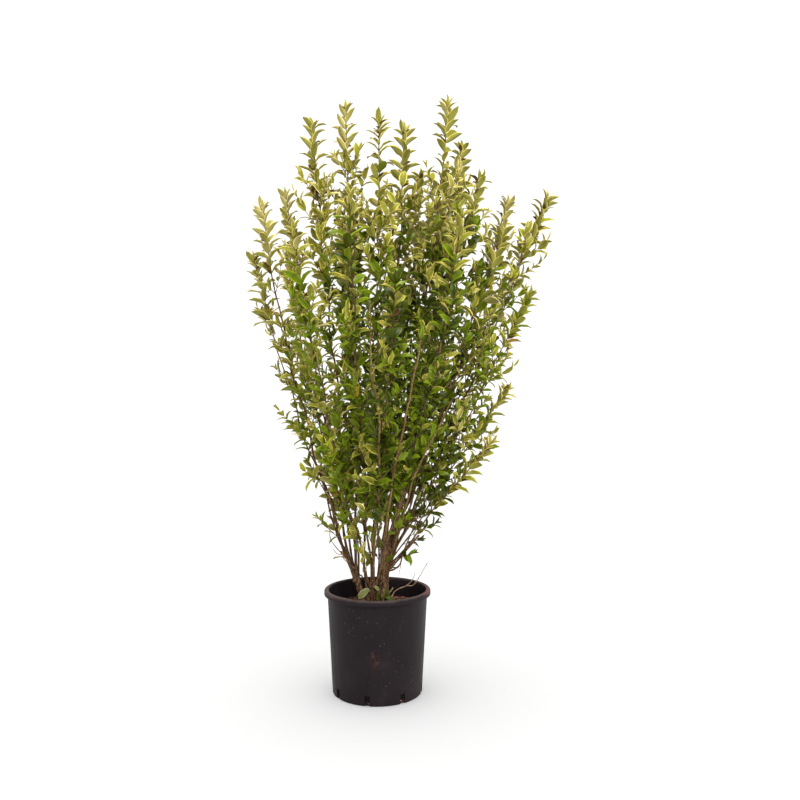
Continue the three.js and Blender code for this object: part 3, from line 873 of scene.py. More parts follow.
def mark_cut(piece, top, reach):
    """Faces near a cut end that look along the limb get the second material."""
    for face in piece.data.polygons:
        near = (face.center - Vector(top)).length < reach
        face.material_index = 1 if near and face.normal.z > CUT_UPRIGHT else 0


lumps_wood = bpy.data.textures.new("wood_lumps", "CLOUDS")
lumps_wood.noise_scale = LUMP_SIZE
ridges_wood = bpy.data.textures.new("wood_ridges", "CLOUDS")
ridges_wood.noise_scale = RIDGE_SIZE
ridges_wood.noise_depth = 3
start_fresh()
bpy.ops.object.empty_add(location=(0, 0, 0))
stretcher = bpy.context.object
stretcher.scale = (1, 1, RIDGE_STRETCH)
bpy.context.view_layer.update()

for name, node, foot, top, radii, seed in OLD_WOOD:
    places, sizes = rings_along(np.array(foot), np.array(top), radii, np.random.default_rng(seed))
    wood = extrude_rings(name, places, sizes)
    pick(wood, lambda v: v.z > places[-1][2] - CUT_LEVEL)
    for thickness, depth in CUT_INSETS:
        bpy.ops.mesh.inset(thickness=thickness, depth=depth)
    bpy.ops.object.mode_set(mode="OBJECT")
    apply_modifier(wood, "SUBSURF", levels=3, render_levels=3)
    apply_modifier(wood, "DISPLACE", texture=lumps_wood, texture_coords="LOCAL", strength=LUMP_HEIGHT)
    apply_modifier(wood, "DISPLACE", texture=ridges_wood, texture_coords="OBJECT",
                   texture_coords_object=stretcher, strength=RIDGE_HEIGHT)
    smooth(WOOD_SMOOTH_DEG)
    finish_piece(wood, [old_bark, cut_wood], [node])
    mark_cut(wood, places[-1], sizes[-1] * CUT_REACH)
bpy.data.objects.remove(stretcher)

# %% [markdown]
# ## Canes
# A cane is a poly curve with a radius at every point, turned into a mesh. Its radius swells at
# each node, where a pair of leaves once grew, and its line steps a little from side to side there, as
# privet wood does. The collar at its foot is thicker, because it has grown out of the stool's bark.

# %% Bark of the canes
def make_cane_bark(name, low_stops, high_stops):
    """Streaked bark of one colour low down and another high up, with pale lenticels."""
    material, tree, shader = start_material(name, roughness=0.75, shine=0.2)
    place = object_place(tree)
    streaks = noise(tree, object_place(tree, (1, 1, 0.2)), scale=420, detail=6)
    height = mask(tree, axis(tree, place, "Z"), 0.6, 1.3)
    colour = mix(tree, height, ramp(tree, streaks, low_stops), ramp(tree, streaks, high_stops))
    spots = dots(tree, place, scale=260, inner=0.12, outer=0.3)
    colour = mix(tree, times(tree, spots, 0.55), colour, "#c3b391")
    dress(tree, shader, colour, calculate(tree, "ADD", streaks, spots), depth=0.0008, strength=0.7)
    return material


BROWN = [(0.3, "#2f1e11"), (0.5, "#523722"), (0.68, "#7d6040")]
DARK_PURPLE = [(0.3, "#311c10"), (0.5, "#54351f"), (0.7, "#765639")]
TAN = [(0.3, "#46301a"), (0.5, "#6c522f"), (0.68, "#97794a")]
TAN_HIGH = [(0.3, "#4a3519"), (0.5, "#6f562c"), (0.7, "#94794a")]
DRY = [(0.3, "#5a4234"), (0.5, "#80664e"), (0.7, "#a88e70")]
cane_bark = make_cane_bark("young_bark", BROWN, DARK_PURPLE)
tan_bark = make_cane_bark("tan_bark", TAN, TAN_HIGH)
dry_bark = make_cane_bark("dry_bark", DRY, DRY)
print("materials:", cane_bark.name, tan_bark.name, dry_bark.name)

# %% Curves of the canes
CANE_STEP = 0.009
CANE_SUNK = 0.004
FIRST_NODE = 0.02
NODE_LOW = 0.052
NODE_HIGH = 0.024
NODE_SWELL = 0.22
NODE_REACH = 0.0035
COLLAR = 0.6
COLLAR_REACH = 0.012
ZIGZAG = 0.0007
TUBE_BEVEL = 2
TUBE_WELD = 1e-6
TUBE_SMOOTH_DEG = 50
BARK_DROP = 0.030


def tube(name, points, radii):
    """A poly curve with a radius at every point, filled at its ends and made a mesh."""
    curve = bpy.data.curves.new(name, "CURVE")
    curve.dimensions = "3D"
    curve.bevel_depth = 1
    curve.bevel_resolution = TUBE_BEVEL
    curve.use_fill_caps = True
    line = curve.splines.new("POLY")
    line.points.add(len(points) - 1)
    for point, place, radius in zip(line.points, points, radii):
        point.co = (*place, 1)
        point.radius = radius
    piece = bpy.data.objects.new(name, curve)
    bpy.context.collection.objects.link(piece)
    make_active(piece)
    bpy.ops.object.convert(target="MESH")
    piece = named(name)
    edit_all()
    close_mesh(weld=TUBE_WELD)
    smooth(TUBE_SMOOTH_DEG)
    return piece


def bump_at(distance, height, reach):
    """A factor of 1 that rises by a height where the distance is small."""
    return 1 + height * np.exp(-(distance / reach) ** 2)


def cane_nodes(index):
    """The heights of a cane's nodes, closer together towards the tip."""
    heights = [FEET[index, 2] + FIRST_NODE]
    while heights[-1] < TIPS[index, 2] - BARK_DROP:
        share = (heights[-1] - FEET[index, 2]) / (TIPS[index, 2] - FEET[index, 2])
        heights.append(heights[-1] + between(NODE_LOW, NODE_HIGH, share))
    return np.array(heights[:-1])


for index, name in enumerate(NAMES):
    nodes = cane_nodes(index)
    evenly = np.arange(FEET[index, 2] - CANE_SUNK, TIPS[index, 2] - BARK_DROP, CANE_STEP)
    heights = np.unique(np.concatenate([evenly, nodes]))
    line = cane_axes(heights)[:, index]
    aside = np.interp(heights, nodes, ZIGZAG * (-1.0) ** np.arange(len(nodes)))
    line = line + aside[:, None] * [math.cos(index), math.sin(index)]
    radii = cane_radius(index, heights)
    radii = radii * bump_at(np.abs(heights[:, None] - nodes).min(axis=1), NODE_SWELL, NODE_REACH)
    radii = radii * bump_at(heights - FEET[index, 2], COLLAR, COLLAR_REACH)
    cane = tube("bark_" + name, np.column_stack([line, heights]), radii)
    finish_piece(cane, [cane_bark], ["cane_" + name])

# %% [markdown]
# ## Stubs, dead twigs and thin stems
# Smaller stems cross between the canes: cut stubs, dead twigs that fork, a few thin bare shoots, and three
# lighter stems that pass in front of the leaves. Each runs through a handful of points, rounded by a
# Catmull-Rom rule.

# %% Places of the small stems
SMALL_STEMS = (
    # name, points, radius at foot, radius at tip, node that it replaces, slot
    ("bark_cut_stub", ((0.024, -0.006, 0.332), (0.05, -0.009, 0.36), (0.082, -0.012, 0.398),
                       (0.117, -0.014, 0.439)), 0.0036, 0.0028, "cut_stub", "cane_bark"),
    ("bark_dry_twig", ((0.032, -0.044, 0.2395), (0.047, -0.046, 0.286), (0.08, -0.047, 0.304),
                       (0.104, -0.046, 0.31), (0.14, -0.044, 0.368)),
     0.0018, 0.0009, "dry_twig", "dry_wood"),
    ("dry_cut_stub", ((0.012, -0.034, 0.2385), (0.02, -0.033, 0.264), (0.033, -0.031, 0.28),
                      (0.0447, -0.03, 0.2953)), 0.0025, 0.002, None, "dry_wood"),
    ("dry_side_twig", ((0.08, -0.047, 0.304), (0.098, -0.049, 0.322), (0.106, -0.05, 0.345)),
     0.0011, 0.0006, None, "dry_wood"),
    ("dry_left_fork", ((-0.0645, -0.01, 0.345), (-0.098, -0.016, 0.385), (-0.1297, -0.02, 0.4266),
                       (-0.1325, -0.02, 0.463)), 0.0019, 0.0008, None, "dry_wood"),
    ("dry_left_spur", ((-0.098, -0.016, 0.385), (-0.112, -0.02, 0.388), (-0.125, -0.022, 0.402)),
     0.0012, 0.0007, None, "dry_wood"),
    ("hanging_twig", ((0.0707, -0.014, 0.393), (0.067, -0.016, 0.362), (0.0609, -0.018, 0.3313)),
     0.0011, 0.0006, None, "dry_wood"),
    ("elbow_stem", ((0.032, -0.012, 0.338), (0.048, -0.02, 0.345), (0.0637, -0.024, 0.36),
                    (0.0749, -0.026, 0.3986), (0.1086, -0.034, 0.4826), (0.1338, -0.05, 0.567)),
     0.0026, 0.0014, None, "cane_bark"),
    ("thin_left_stem", ((-0.064, -0.004, 0.32), (-0.0793, -0.016, 0.3733), (-0.1129, -0.026, 0.4406),
                        (-0.1325, -0.04, 0.5387), (-0.195, -0.05, 0.6536)),
     0.0024, 0.0012, None, "cane_bark"),
)
FRONT_STEMS = (
    # name, points, radius at foot, radius at tip, share of the leaves before it that are missing
    ("tan_stem_front", ((0.018, -0.01, 0.33), (0.02, -0.05, 0.4), (0.0259, -0.1, 0.4734),
                        (0.0473, -0.17, 0.6269), (0.0755, -0.25, 0.7638), (0.093, -0.3, 0.8556),
                        (0.1046, -0.33, 0.9104), (0.1136, -0.345, 0.9617)), 0.0046, 0.0017, 0.8),
    ("tan_stem_middle", ((-0.014, -0.03, 0.3), (-0.002, -0.11, 0.48), (0.009, -0.19, 0.62),
                         (0.0113, -0.26, 0.7192), (0.0118, -0.28, 0.8017), (-0.006, -0.29, 0.8779),
                         (-0.0081, -0.3, 0.99), (-0.0096, -0.3, 1.0633)), 0.0034, 0.0015, 0.35),
    ("tan_stem_right", ((0.045, -0.01, 0.4), (0.072, -0.08, 0.5), (0.101, -0.15, 0.617),
                        (0.14, -0.19, 0.704), (0.169, -0.205, 0.762), (0.196, -0.215, 0.819)),
     0.003, 0.0014, 0.45),
)
STEM_STEPS = 7
FRONT_STEM_STEPS = 21
STEM_WAVE = 0.12
FRONT_NODE_GAP = 0.045


def rounded_line(points, steps):
    """A smooth line through points, with some steps from each to the next."""
    points = np.array([points[0], *points, points[-1]], float)
    line = []
    for a, b, c, d in zip(points, points[1:], points[2:], points[3:]):
        for t in np.linspace(0, 1, steps, endpoint=False):
            line.append(0.5 * (2 * b + (c - a) * t + (2 * a - 5 * b + 4 * c - d) * t * t
                               + (3 * b - 3 * c + d - a) * t ** 3))
    return np.array(line + [points[-1]])


def tapering_line(points, steps, thick, thin):
    """A rounded line, the share of each point on it, and a radius that falls from thick to thin."""
    line = rounded_line(points, steps)
    share = np.linspace(0, 1, len(line))
    return line, share, between(thick, thin, share)


# %% Small stems
for name, points, thick, thin, node, slot in SMALL_STEMS:
    line, share, radii = tapering_line(points, STEM_STEPS, thick, thin)
    wave = 1 + STEM_WAVE * np.cos(share * len(points) * 2 * math.pi)
    bark = dry_bark if slot == "dry_wood" else cane_bark
    finish_piece(tube(name, line, radii * wave), [bark], [node] if node else [])

for name, points, thick, thin, cleared in FRONT_STEMS:
    line, share, radii = tapering_line(points, FRONT_STEM_STEPS, thick, thin)
    from_node = (line[:, 2] + FRONT_NODE_GAP / 2) % FRONT_NODE_GAP - FRONT_NODE_GAP / 2
    line[:, 0] += ZIGZAG * np.sign(np.sin(line[:, 2] * math.pi / FRONT_NODE_GAP))
    stem = tube(name, line, radii * bump_at(from_node, NODE_SWELL, NODE_REACH))
    finish_piece(stem, [tan_bark])

# %% [markdown]
# ## Leaves
# A privet leaf is an oval with a short point, folded along its midrib, arched, and edged with yellow. Its
# upper side is a grid of four columns whose rows are moved and resized to the outline. The same grid with
# its middle sunk a little closes it underneath, so that a leaf is solid and has 48 triangles. Six kinds
# differ in width, arch and wave. A face's role tells green centre, yellow margin and dull underside apart.

# %% Model the kinds of leaf
STATIONS = (0, 0.16, 0.44, 0.76, 1)
MARGIN_LINE = 0.78
LEAF_THICKNESS = 0.014
LEAF_KINDS = (
    # name, half widths at the stations, heights at the stations, fold, waves of the edge
    ("plume", (0.05, 0.135, 0.200, 0.155, 0), (0, 0.065, 0.110, 0.035, -0.120), 0.40, 0.00),
    ("slim", (0.05, 0.105, 0.155, 0.115, 0), (0, 0.050, 0.085, 0.035, -0.080), 0.55, 0.01),
    ("broad", (0.05, 0.155, 0.235, 0.170, 0), (0, 0.055, 0.090, 0.015, -0.110), 0.30, 0.02),
    ("round", (0.06, 0.185, 0.270, 0.205, 0), (0, 0.025, 0.040, 0.015, -0.035), 0.22, 0.01),
    ("wavy", (0.05, 0.125, 0.185, 0.140, 0), (0, 0.055, 0.060, -0.020, -0.130), 0.40, 0.05),
    ("young", (0.05, 0.120, 0.185, 0.125, 0), (0, 0.010, 0.015, 0.020, 0.030), 0.75, 0.00),
)
KIND = {kind[0]: number for number, kind in enumerate(LEAF_KINDS)}
ROLES = ("centre", "margin", "underside")
MIDRIB_X = 0.1
EDGE_X = 0.4
SAME_ROW = 0.02
THINNEST = 0.001
PARKED = 10
WELD_DIGITS = 4


def shape_blade(kind, sink):
    """One side of a leaf of unit length along +Y. A row that is done is parked far off until the end."""
    name, half_widths, heights, fold, wave = kind
    rows = len(STATIONS) - 1
    start_fresh()
    bpy.ops.mesh.primitive_grid_add(x_subdivisions=4, y_subdivisions=rows, size=1, location=(0, 0.5, 0))
    blade = named(name)
    bpy.ops.object.transform_apply()

    def pick_row(level, beyond=-1):
        pick(blade, lambda v: abs(v.y - level) < SAME_ROW and abs(v.x) > beyond)

    def lift(height):
        bpy.ops.transform.translate(value=(0, 0, height))

    def widen(factor):
        bpy.ops.transform.resize(value=(factor, 1, 1), center_override=(0, 0, 0))

    pick(blade, lambda v: MIDRIB_X < abs(v.x) < EDGE_X)
    widen(2 * MARGIN_LINE)
    pick(blade, lambda v: abs(v.x) < EDGE_X)
    lift(-sink)
    for row in reversed(range(rows + 1)):
        level, half = row / rows, half_widths[row]
        pick_row(level, MIDRIB_X)
        lift(fold * half * MARGIN_LINE)
        pick_row(level, EDGE_X)
        lift(fold * half * (1 - MARGIN_LINE) + (wave if row % 2 else -wave))
        pick_row(level)
        widen(2 * max(half, THINNEST))
        away = PARKED if 0 < row < rows else 0
        bpy.ops.transform.translate(value=(0, STATIONS[row] - level + away, heights[row]))
    pick(blade, lambda v: v.y > PARKED / 2)
    bpy.ops.transform.translate(value=(0, -PARKED, 0))
    for end in (0, 1):
        pick_row(end)
        bpy.ops.mesh.merge(type="CENTER")
        lift(sink)
    bpy.ops.object.mode_set(mode="OBJECT")
    return read_model(blade)


def model_leaf(kind):
    """A closed leaf: both sides joined where their edges meet, with a role for each face."""
    top_corners, top_faces, _ = shape_blade(kind, 0)
    low_corners, low_faces, _ = shape_blade(kind, LEAF_THICKNESS)
    ends = low_corners[:, 1] % 1 == 0
    low_corners[ends] = top_corners[ends]
    corners = np.concatenate([top_corners, low_corners])
    faces = np.concatenate([top_faces, low_faces[:, ::-1] + len(top_corners)])
    below = np.arange(len(faces)) >= len(top_faces)
    rounded = np.round(corners, WELD_DIGITS)
    _, first_of, joined = np.unique(rounded, axis=0, return_index=True, return_inverse=True)
    corners, faces = corners[first_of], joined.ravel()[faces]
    middles = corners[faces].mean(axis=1)
    half = np.interp(middles[:, 1], STATIONS, kind[1])
    inside = np.where(below, ROLES.index("underside"), ROLES.index("centre"))
    roles = np.where(np.abs(middles[:, 0]) > MARGIN_LINE * half, ROLES.index("margin"), inside)
    return corners, faces, roles


leaf_models = [model_leaf(kind) for kind in LEAF_KINDS]
print("triangles in a leaf:", [len(model[1]) for model in leaf_models])

# %% [markdown]
# ## Where leaves may grow
# Every cane keeps a space of its own. A leaf's tip stays within a reach of the cane's axis, which widens
# from the plume at the cane's end to the body below. It also stays on its own side of the neighbours' axes
# and under a cap over the cane's tip. The same rule shaped the plain solids, so the leaves fill them.

# %% A cane's own space
PLUME = 0.250
PLUME_REACH = 0.048
BODY_REACH = 0.072
TOP_CAP = 0.045
SOFT_WALL = 0.80
QUARTER = math.pi / 2
STEEP = 0.9


def in_own_space(points, owner, slack):
    """Within reach of the own cane's axis, not past a neighbour's, and below the cap over the tip."""
    heights = points[:, 2]
    away = np.linalg.norm(cane_axes(heights) - points[:, None, :2], axis=2)
    own = away[np.arange(len(points)), owner]
    share = np.clip((TIPS[owner, 2] - heights) / PLUME, 0, 1)
    reach = between(PLUME_REACH, BODY_REACH, share) + slack
    others = np.where(heights[:, None] > TIPS[:, 2] + TOP_CAP, np.inf, away)
    others[np.arange(len(points)), owner] = np.inf
    return (own < reach) & (own * SOFT_WALL < others.min(axis=1)) & (heights < TIPS[owner, 2] + TOP_CAP)


def sides_of(shoot):
    """Two directions square to a shoot, the first of them level."""
    level = unit(np.cross(shoot, (0, 1, 0) if abs(shoot[1]) < STEEP else (1, 0, 0)))
    return level, np.cross(shoot, level)


def around(shoot, angle):
    """The direction square to a shoot that lies at an angle round it."""
    first, second = sides_of(shoot)
    return first * math.cos(angle) + second * math.sin(angle)


# %% [markdown]
# ## How the leaves grow
# Privet bears its leaves in pairs, and each pair stands a quarter turn from the last. Its side shoots start
# in pairs as well, bend upwards, and end in two young leaves. A particle system or Geometry Nodes could
# strew leaves on a surface. Plain code keeps the pairs and the quarter turns, and it grows the same shrub
# each time, since its random numbers are seeded. All the leaves of one shoot share a number, their spray.

# %% Pairs of leaves and side shoots
SEED = 20260
GROUP_RULES = {
    # group: share of bare nodes, height of the plume's foot below the tip, closeness of the plume's pairs
    "left": (0.46, 0.215, 1),
    "middle": (0, 0.215, 1),
    "right": (0, 0.150, 0.9),
    "edge": (0, 0.165, 0.72),
    "front": (0.10, 0.215, 1),
    "back": (0, 0.215, 1),
}
SPRAYS_PER_CANE = 1000
FIRST_SHOOT = 0.035
LEAF_SPREAD = 0.22
LEAN_SPREAD = 0.16
PAIR_SIZES = (0.85, 1.1)
SHOOT_BEND = 0.18
SHORTEN = 0.8
SHORTEST_SHOOT = 0.025
TWIG_MIDDLE = 0.55
FIRST_PAIR = (0.008, 0.018)
LAST_PAIR = 0.004
SHOOT_STEP = 0.0135
SHOOT_STEPS = (0.85, 1.25)
SHOOT_TURN_SPREAD = 0.15
SHOOT_LEAF = (0.025, 0.029, 0.033, 0.038, 0.045)
SHOOT_LEAF_SIZE = (1.1, 0.85)
SHOOT_LEAF_LEAN = (0.95, 0.65)
SHARE_STEP = 0.02
END_SHARE = 0.9
END_LEAF = 0.026
END_LEAN = (0.15, 0.45)
LOW_BELOW = 0.72
LOW_LEAF = 1.12
LARGER_FROM = (0.80, 1.10)
LARGER = (1, 1.25)
LOW_KINDS = ("broad", "round", "wavy", "plume")
SHOOT_KINDS = ("plume", "slim", "slim", "wavy", "wavy", "broad")
HIGH_KINDS = ("plume", "plume", "slim", "wavy", "broad", "broad")


class CaneGrowth:
    """A cane that is being climbed: a row of numbers for each leaf and three points for each twig."""

    def __init__(self, index):
        self.index = index
        self.rng = np.random.default_rng(SEED + index)
        self.tip = TIPS[index, 2]
        self.gaps, self.plume_foot, self.closer = GROUP_RULES[GROUPS[index]]
        self.turn = self.rng.uniform(0, math.pi)
        self.spray = index * SPRAYS_PER_CANE
        self.height = FEET[index, 2] + FIRST_SHOOT
        self.leaves = []
        self.twigs = []

    def here(self):
        """The cane's place and direction at the height that has been reached."""
        return cane_point(self.index, self.height), cane_direction(self.index, self.height)

    def leaf(self, foot, shoot, side, length, lean, kind, spray=None):
        spray = self.spray if spray is None else spray
        self.leaves.append((*foot, *shoot, *side, length, lean, KIND[kind], self.index, spray))

    def pair(self, foot, shoot, turn, length, lean, kind):
        """Two leaves face to face, each a little off the rule."""
        for half in (0, math.pi):
            side = around(shoot, turn + half + self.rng.normal(0, LEAF_SPREAD))
            size = length * self.rng.uniform(*PAIR_SIZES)
            self.leaf(foot, shoot, side, size, lean + self.rng.normal(0, LEAN_SPREAD), kind)

    def side_shoot(self, foot, direction, length):
        """A shoot that bends upwards and carries leaf pairs, shortened until it keeps to its own space."""
        def line(share):
            return foot + direction * length * share + np.array((0, 0, SHOOT_BEND)) * length * share * share

        self.spray += 1
        while not in_own_space(line(1)[None], np.array([self.index]), 0)[0]:
            length *= SHORTEN
            if length < SHORTEST_SHOOT:
                return
        self.twigs.append((foot, line(TWIG_MIDDLE), line(1)))
        turn = self.rng.uniform(0, math.pi)
        distance = self.rng.uniform(*FIRST_PAIR)
        low, high = foot[2] < LOW_BELOW, foot[2] > LARGER_FROM[1]
        larger = np.interp(foot[2], LARGER_FROM, LARGER)
        kinds = LOW_KINDS if low else HIGH_KINDS if high else SHOOT_KINDS
        while distance < length - LAST_PAIR:
            share = distance / length
            along = unit(line(min(share + SHARE_STEP, 1)) - line(share - SHARE_STEP))
            size = self.rng.choice(SHOOT_LEAF) * between(*SHOOT_LEAF_SIZE, share)
            size *= LOW_LEAF if low else larger
            kind = self.rng.choice(kinds)
            self.pair(line(share), along, turn, size, between(*SHOOT_LEAF_LEAN, share), kind)
            turn += QUARTER + self.rng.normal(0, SHOOT_TURN_SPREAD)
            distance += SHOOT_STEP * larger * self.rng.uniform(*SHOOT_STEPS)
        along = unit(line(1) - line(END_SHARE))
        for angle in (0, math.pi):
            self.leaf(line(1), along, around(along, angle), END_LEAF, self.rng.uniform(*END_LEAN), "young")


# %% [markdown]
# ## Up a cane
# A cane is climbed from its foot. Low down it carries a few short shoots. Along its body each node carries
# a pair of side shoots, a pair of large leaves, or nothing, which leaves gaps of sky on the left and in
# front. In the plume the pairs sit on the cane itself, closer towards its tip, and many axils hold a bud leaf
# whose dark bronze is partly its own colour and partly painted shade. The three stretches follow different
# rules, so each has a function of its own.

# %% Climb the foot
LOW_SHOOT = 0.045
LOW_SHOOT_ODDS = 0.42
LOW_SHOOTS_BELOW = 0.420
LOW_SHOOTS_STAGGER = 0.022
BODY_STEP = 0.024


def climb_foot(cane):
    """A few short shoots on the stem under the foliage."""
    while cane.height < LOW_SHOOTS_BELOW + LOW_SHOOTS_STAGGER * (cane.index * 3 % 5):
        if cane.rng.random() < LOW_SHOOT_ODDS:
            foot, shoot = cane.here()
            side = around(shoot, cane.rng.uniform(0, 2 * math.pi))
            cane.side_shoot(foot, unit(side + shoot), LOW_SHOOT)
        cane.height += BODY_STEP


# %% Climb the body
BODY_STEPS = (0.85, 1.15)
BODY_LEAF = 0.046
BODY_LEAN = 0.95
GAPS_BELOW = 1.2
SHOOT_HEIGHTS = (0.45, 0.90, 1.25, 1.42)
SHOOT_ODDS = (0.57, 0.58, 0.66, 0.40)
SHOOT_LENGTH = (0.045, 0.135)
SHOOT_LEAN = (0.42, 0.85)
PLUME_FREE = 0.110
SIDE_SPREAD = 0.25
TURN_SPREAD = 0.12


def climb_body(cane):
    """At each node a pair of side shoots, a pair of large leaves, or nothing."""
    while cane.height < cane.tip - cane.plume_foot:
        foot, shoot = cane.here()
        bare = cane.rng.random() < cane.gaps and cane.height < GAPS_BELOW
        if not bare and cane.rng.random() < np.interp(cane.height, SHOOT_HEIGHTS, SHOOT_ODDS):
            for half in (0, math.pi):
                side = around(shoot, cane.turn + half + cane.rng.normal(0, SIDE_SPREAD))
                lean = cane.rng.uniform(*SHOOT_LEAN)
                direction = unit(side * math.sin(lean) + shoot * math.cos(lean))
                length = min(cane.rng.uniform(*SHOOT_LENGTH), cane.tip - cane.height - PLUME_FREE)
                cane.side_shoot(foot, direction, length)
        elif not bare:
            cane.spray += 1
            cane.pair(foot, shoot, cane.turn, BODY_LEAF, BODY_LEAN, "broad")
        cane.turn += QUARTER + cane.rng.normal(0, TURN_SPREAD)
        cane.height += BODY_STEP * cane.rng.uniform(*BODY_STEPS)


# %% Climb the plume
PLUME_SPRAY = 900
SHADED_BRONZE_BUD_SPRAY = -1
PLUME_KINDS = ("plume", "plume", "slim", "wavy")
PLUME_STEP = 0.0178
PLUME_STEPS = (0.8, 1.1)
TIP_DROP = 0.030
BUD_LEAF = 0.026
BUD_LEAN = 0.9
BUD_ODDS = 0.62
TIP_LEAVES = ((0, 0.15, 0.036), (math.pi, 0.55, 0.031), (QUARTER, 0.4, 0.028))
# Each of these changes with the share of the plume that is left: the shares, and the values at them
PLUME_LEAF = ((0, 1 / 3), (0.044, 0.057))
PLUME_LEAN = ((0, 0.625), (0.72, 1))
PLUME_CLOSER = ((0, 0.25), (0.6, 1))


def climb_plume(cane):
    """Pairs on the cane itself, dark bronze bud leaves in the axils, partly painted shade, and three young
    leaves at the tip.
    """
    end = cane.tip - TIP_DROP
    cane.spray = cane.index * SPRAYS_PER_CANE + PLUME_SPRAY
    while cane.height < end:
        foot, shoot = cane.here()
        left = (end - cane.height) / PLUME
        length, lean = np.interp(left, *PLUME_LEAF), np.interp(left, *PLUME_LEAN)
        cane.pair(foot, shoot, cane.turn, length, lean, cane.rng.choice(PLUME_KINDS))
        if cane.rng.random() < BUD_ODDS:
            bud = around(shoot, cane.turn + QUARTER * cane.rng.choice((1, 3)))
            # The bud leaf gets the dark bronze palette, partly its own colour and partly painted shade
            cane.leaf(foot, shoot, bud, BUD_LEAF, BUD_LEAN, "broad", SHADED_BRONZE_BUD_SPRAY)
        cane.turn += QUARTER + cane.rng.normal(0, TURN_SPREAD)
        step = PLUME_STEP * cane.closer * cane.rng.uniform(*PLUME_STEPS)
        cane.height += step * np.interp(left, *PLUME_CLOSER)
    cane.height = end
    foot, shoot = cane.here()
    for angle, lean, length in TIP_LEAVES:
        cane.leaf(foot, shoot, around(shoot, angle), length, lean, "young")


# %% Grow all the canes
grown = [CaneGrowth(index) for index in range(len(CANES))]
for cane in grown:
    climb_foot(cane)
    climb_body(cane)
    climb_plume(cane)
rows = np.array([leaf for cane in grown for leaf in cane.leaves])
shoots = [twig for cane in grown for twig in cane.twigs]
print("leaves grown:", len(rows), "shoots:", len(shoots))

# %% [markdown]
# ## Light
# A leaf turns its face to the light, which reaches it from outside the crown and from above. Its blade
# keeps the direction in which it grew and only rolls round it. Then the leaves whose tips leave their own
# cane's space are dropped, and so are some of those that would hide the three front stems.

# %% Turn the leaves to the light and keep what lies in its own cane's space
CROWN_MIDDLE = 0.08
LIGHT_RISE = 0.55
LIGHT_PULL = (0.2, 1.4)
LIGHT_SPREAD = 0.75
LEAF_SLACK = 0.006
LOWEST_TIP = 0.30
STEM_CLEAR = 0.013

place, shoot, side = rows[:, 0:3], rows[:, 3:6], rows[:, 6:9]
length, lean = rows[:, 9:10], rows[:, 10:11]
kind, owner, spray = rows[:, 11:14].astype(int).T
rng = np.random.default_rng(SEED)
along = side * np.sin(lean) + shoot * np.cos(lean)
facing = shoot * np.sin(lean) - side * np.cos(lean)
outward = np.arctan2(place[:, 1], place[:, 0] - CROWN_MIDDLE)
azimuth = outward + rng.normal(0, LIGHT_SPREAD, len(rows))
light = np.stack([np.cos(azimuth), np.sin(azimuth), np.full(len(rows), LIGHT_RISE)], 1)
light = unit_rows(light - along * (light * along).sum(axis=1, keepdims=True))
turned = unit_rows(facing + light * rng.uniform(*LIGHT_PULL, (len(rows), 1)))
leaf_frames = np.stack([np.cross(along, turned), along, turned], 1)
tips = place + along * length
kept = in_own_space(tips, owner, LEAF_SLACK) & (tips[:, 2] > LOWEST_TIP)

x, y, z = (place + along * length / 2).T
for _, points, _, _, cleared in FRONT_STEMS:
    line = rounded_line(points, STEM_STEPS)
    stem_x = np.interp(z, line[:, 2], line[:, 0])
    stem_y = np.interp(z, line[:, 2], line[:, 1])
    farther = (stem_y - CAMERA_PLACE[1]) / (y - CAMERA_PLACE[1])
    beside = np.abs(CAMERA_PLACE[0] + (x - CAMERA_PLACE[0]) * farther - stem_x) < STEM_CLEAR
    hides = beside & (y < stem_y) & (z < line[-1, 2]) & (z > line[0, 2])
    kept &= ~(hides & (rng.uniform(0, 1, len(rows)) < cleared))
print("leaves kept:", int(kept.sum()))

# %% [markdown]
# ## Colour by spray
# Golden privet carries plain green sprays next to gold ones. A spray's palette is drawn by odds that change
# with height: greens inside and below, gold and cream in the plumes, and an old yellow or bronze leaf here
# and there. A plume is dealt as if it stood higher than it does, which keeps green out of its tip. Draws are
# lifted to the pale palettes at the crown's sides, partly for their gold and partly as painted light that
# comes through the edge leaves, and lowered in its middle as painted shade, except near the top. Every role
# of every palette is one plain material, so no picture is needed.

# %% Palettes and odds
PALETTES = (
    # name, centre, margin, underside
    ("deep", "#323d06", "#525c12", "#465010"),
    ("fresh", "#5a6c0b", "#828e1b", "#6a771b"),
    ("gold", "#7c7d27", "#c9b65c", "#89883d"),
    ("cream", "#918e3f", "#decb88", "#a29b59"),
    ("bright", "#8f9020", "#b8ae3c", "#8b8d3c"),
    ("bronze", "#4a3214", "#6b4b24", "#574526"),
    ("old_yellow", "#958220", "#a0762a", "#8f7632"),
)
BRONZE = [row[0] for row in PALETTES].index("bronze")
ODDS_HEIGHTS = (0.45, 0.80, 1.15, 1.36, 1.60)
ODDS = (
    # one row for each height, one column for each palette
    (0.31, 0.44, 0.17, 0.03, 0.04, 0.002, 0.008),
    (0.38, 0.36, 0.18, 0.02, 0.05, 0.002, 0.008),
    (0.29, 0.28, 0.33, 0.05, 0.04, 0.004, 0.006),
    (0.03, 0.07, 0.65, 0.23, 0.01, 0.010, 0.000),
    (0.00, 0.01, 0.69, 0.29, 0.00, 0.010, 0.000),
)
CROWN_HEIGHTS = (0.45, 0.64, 0.85, 1.06, 1.30)
CROWN_HALF_WIDTHS = (0.15, 0.24, 0.29, 0.35, 0.38)
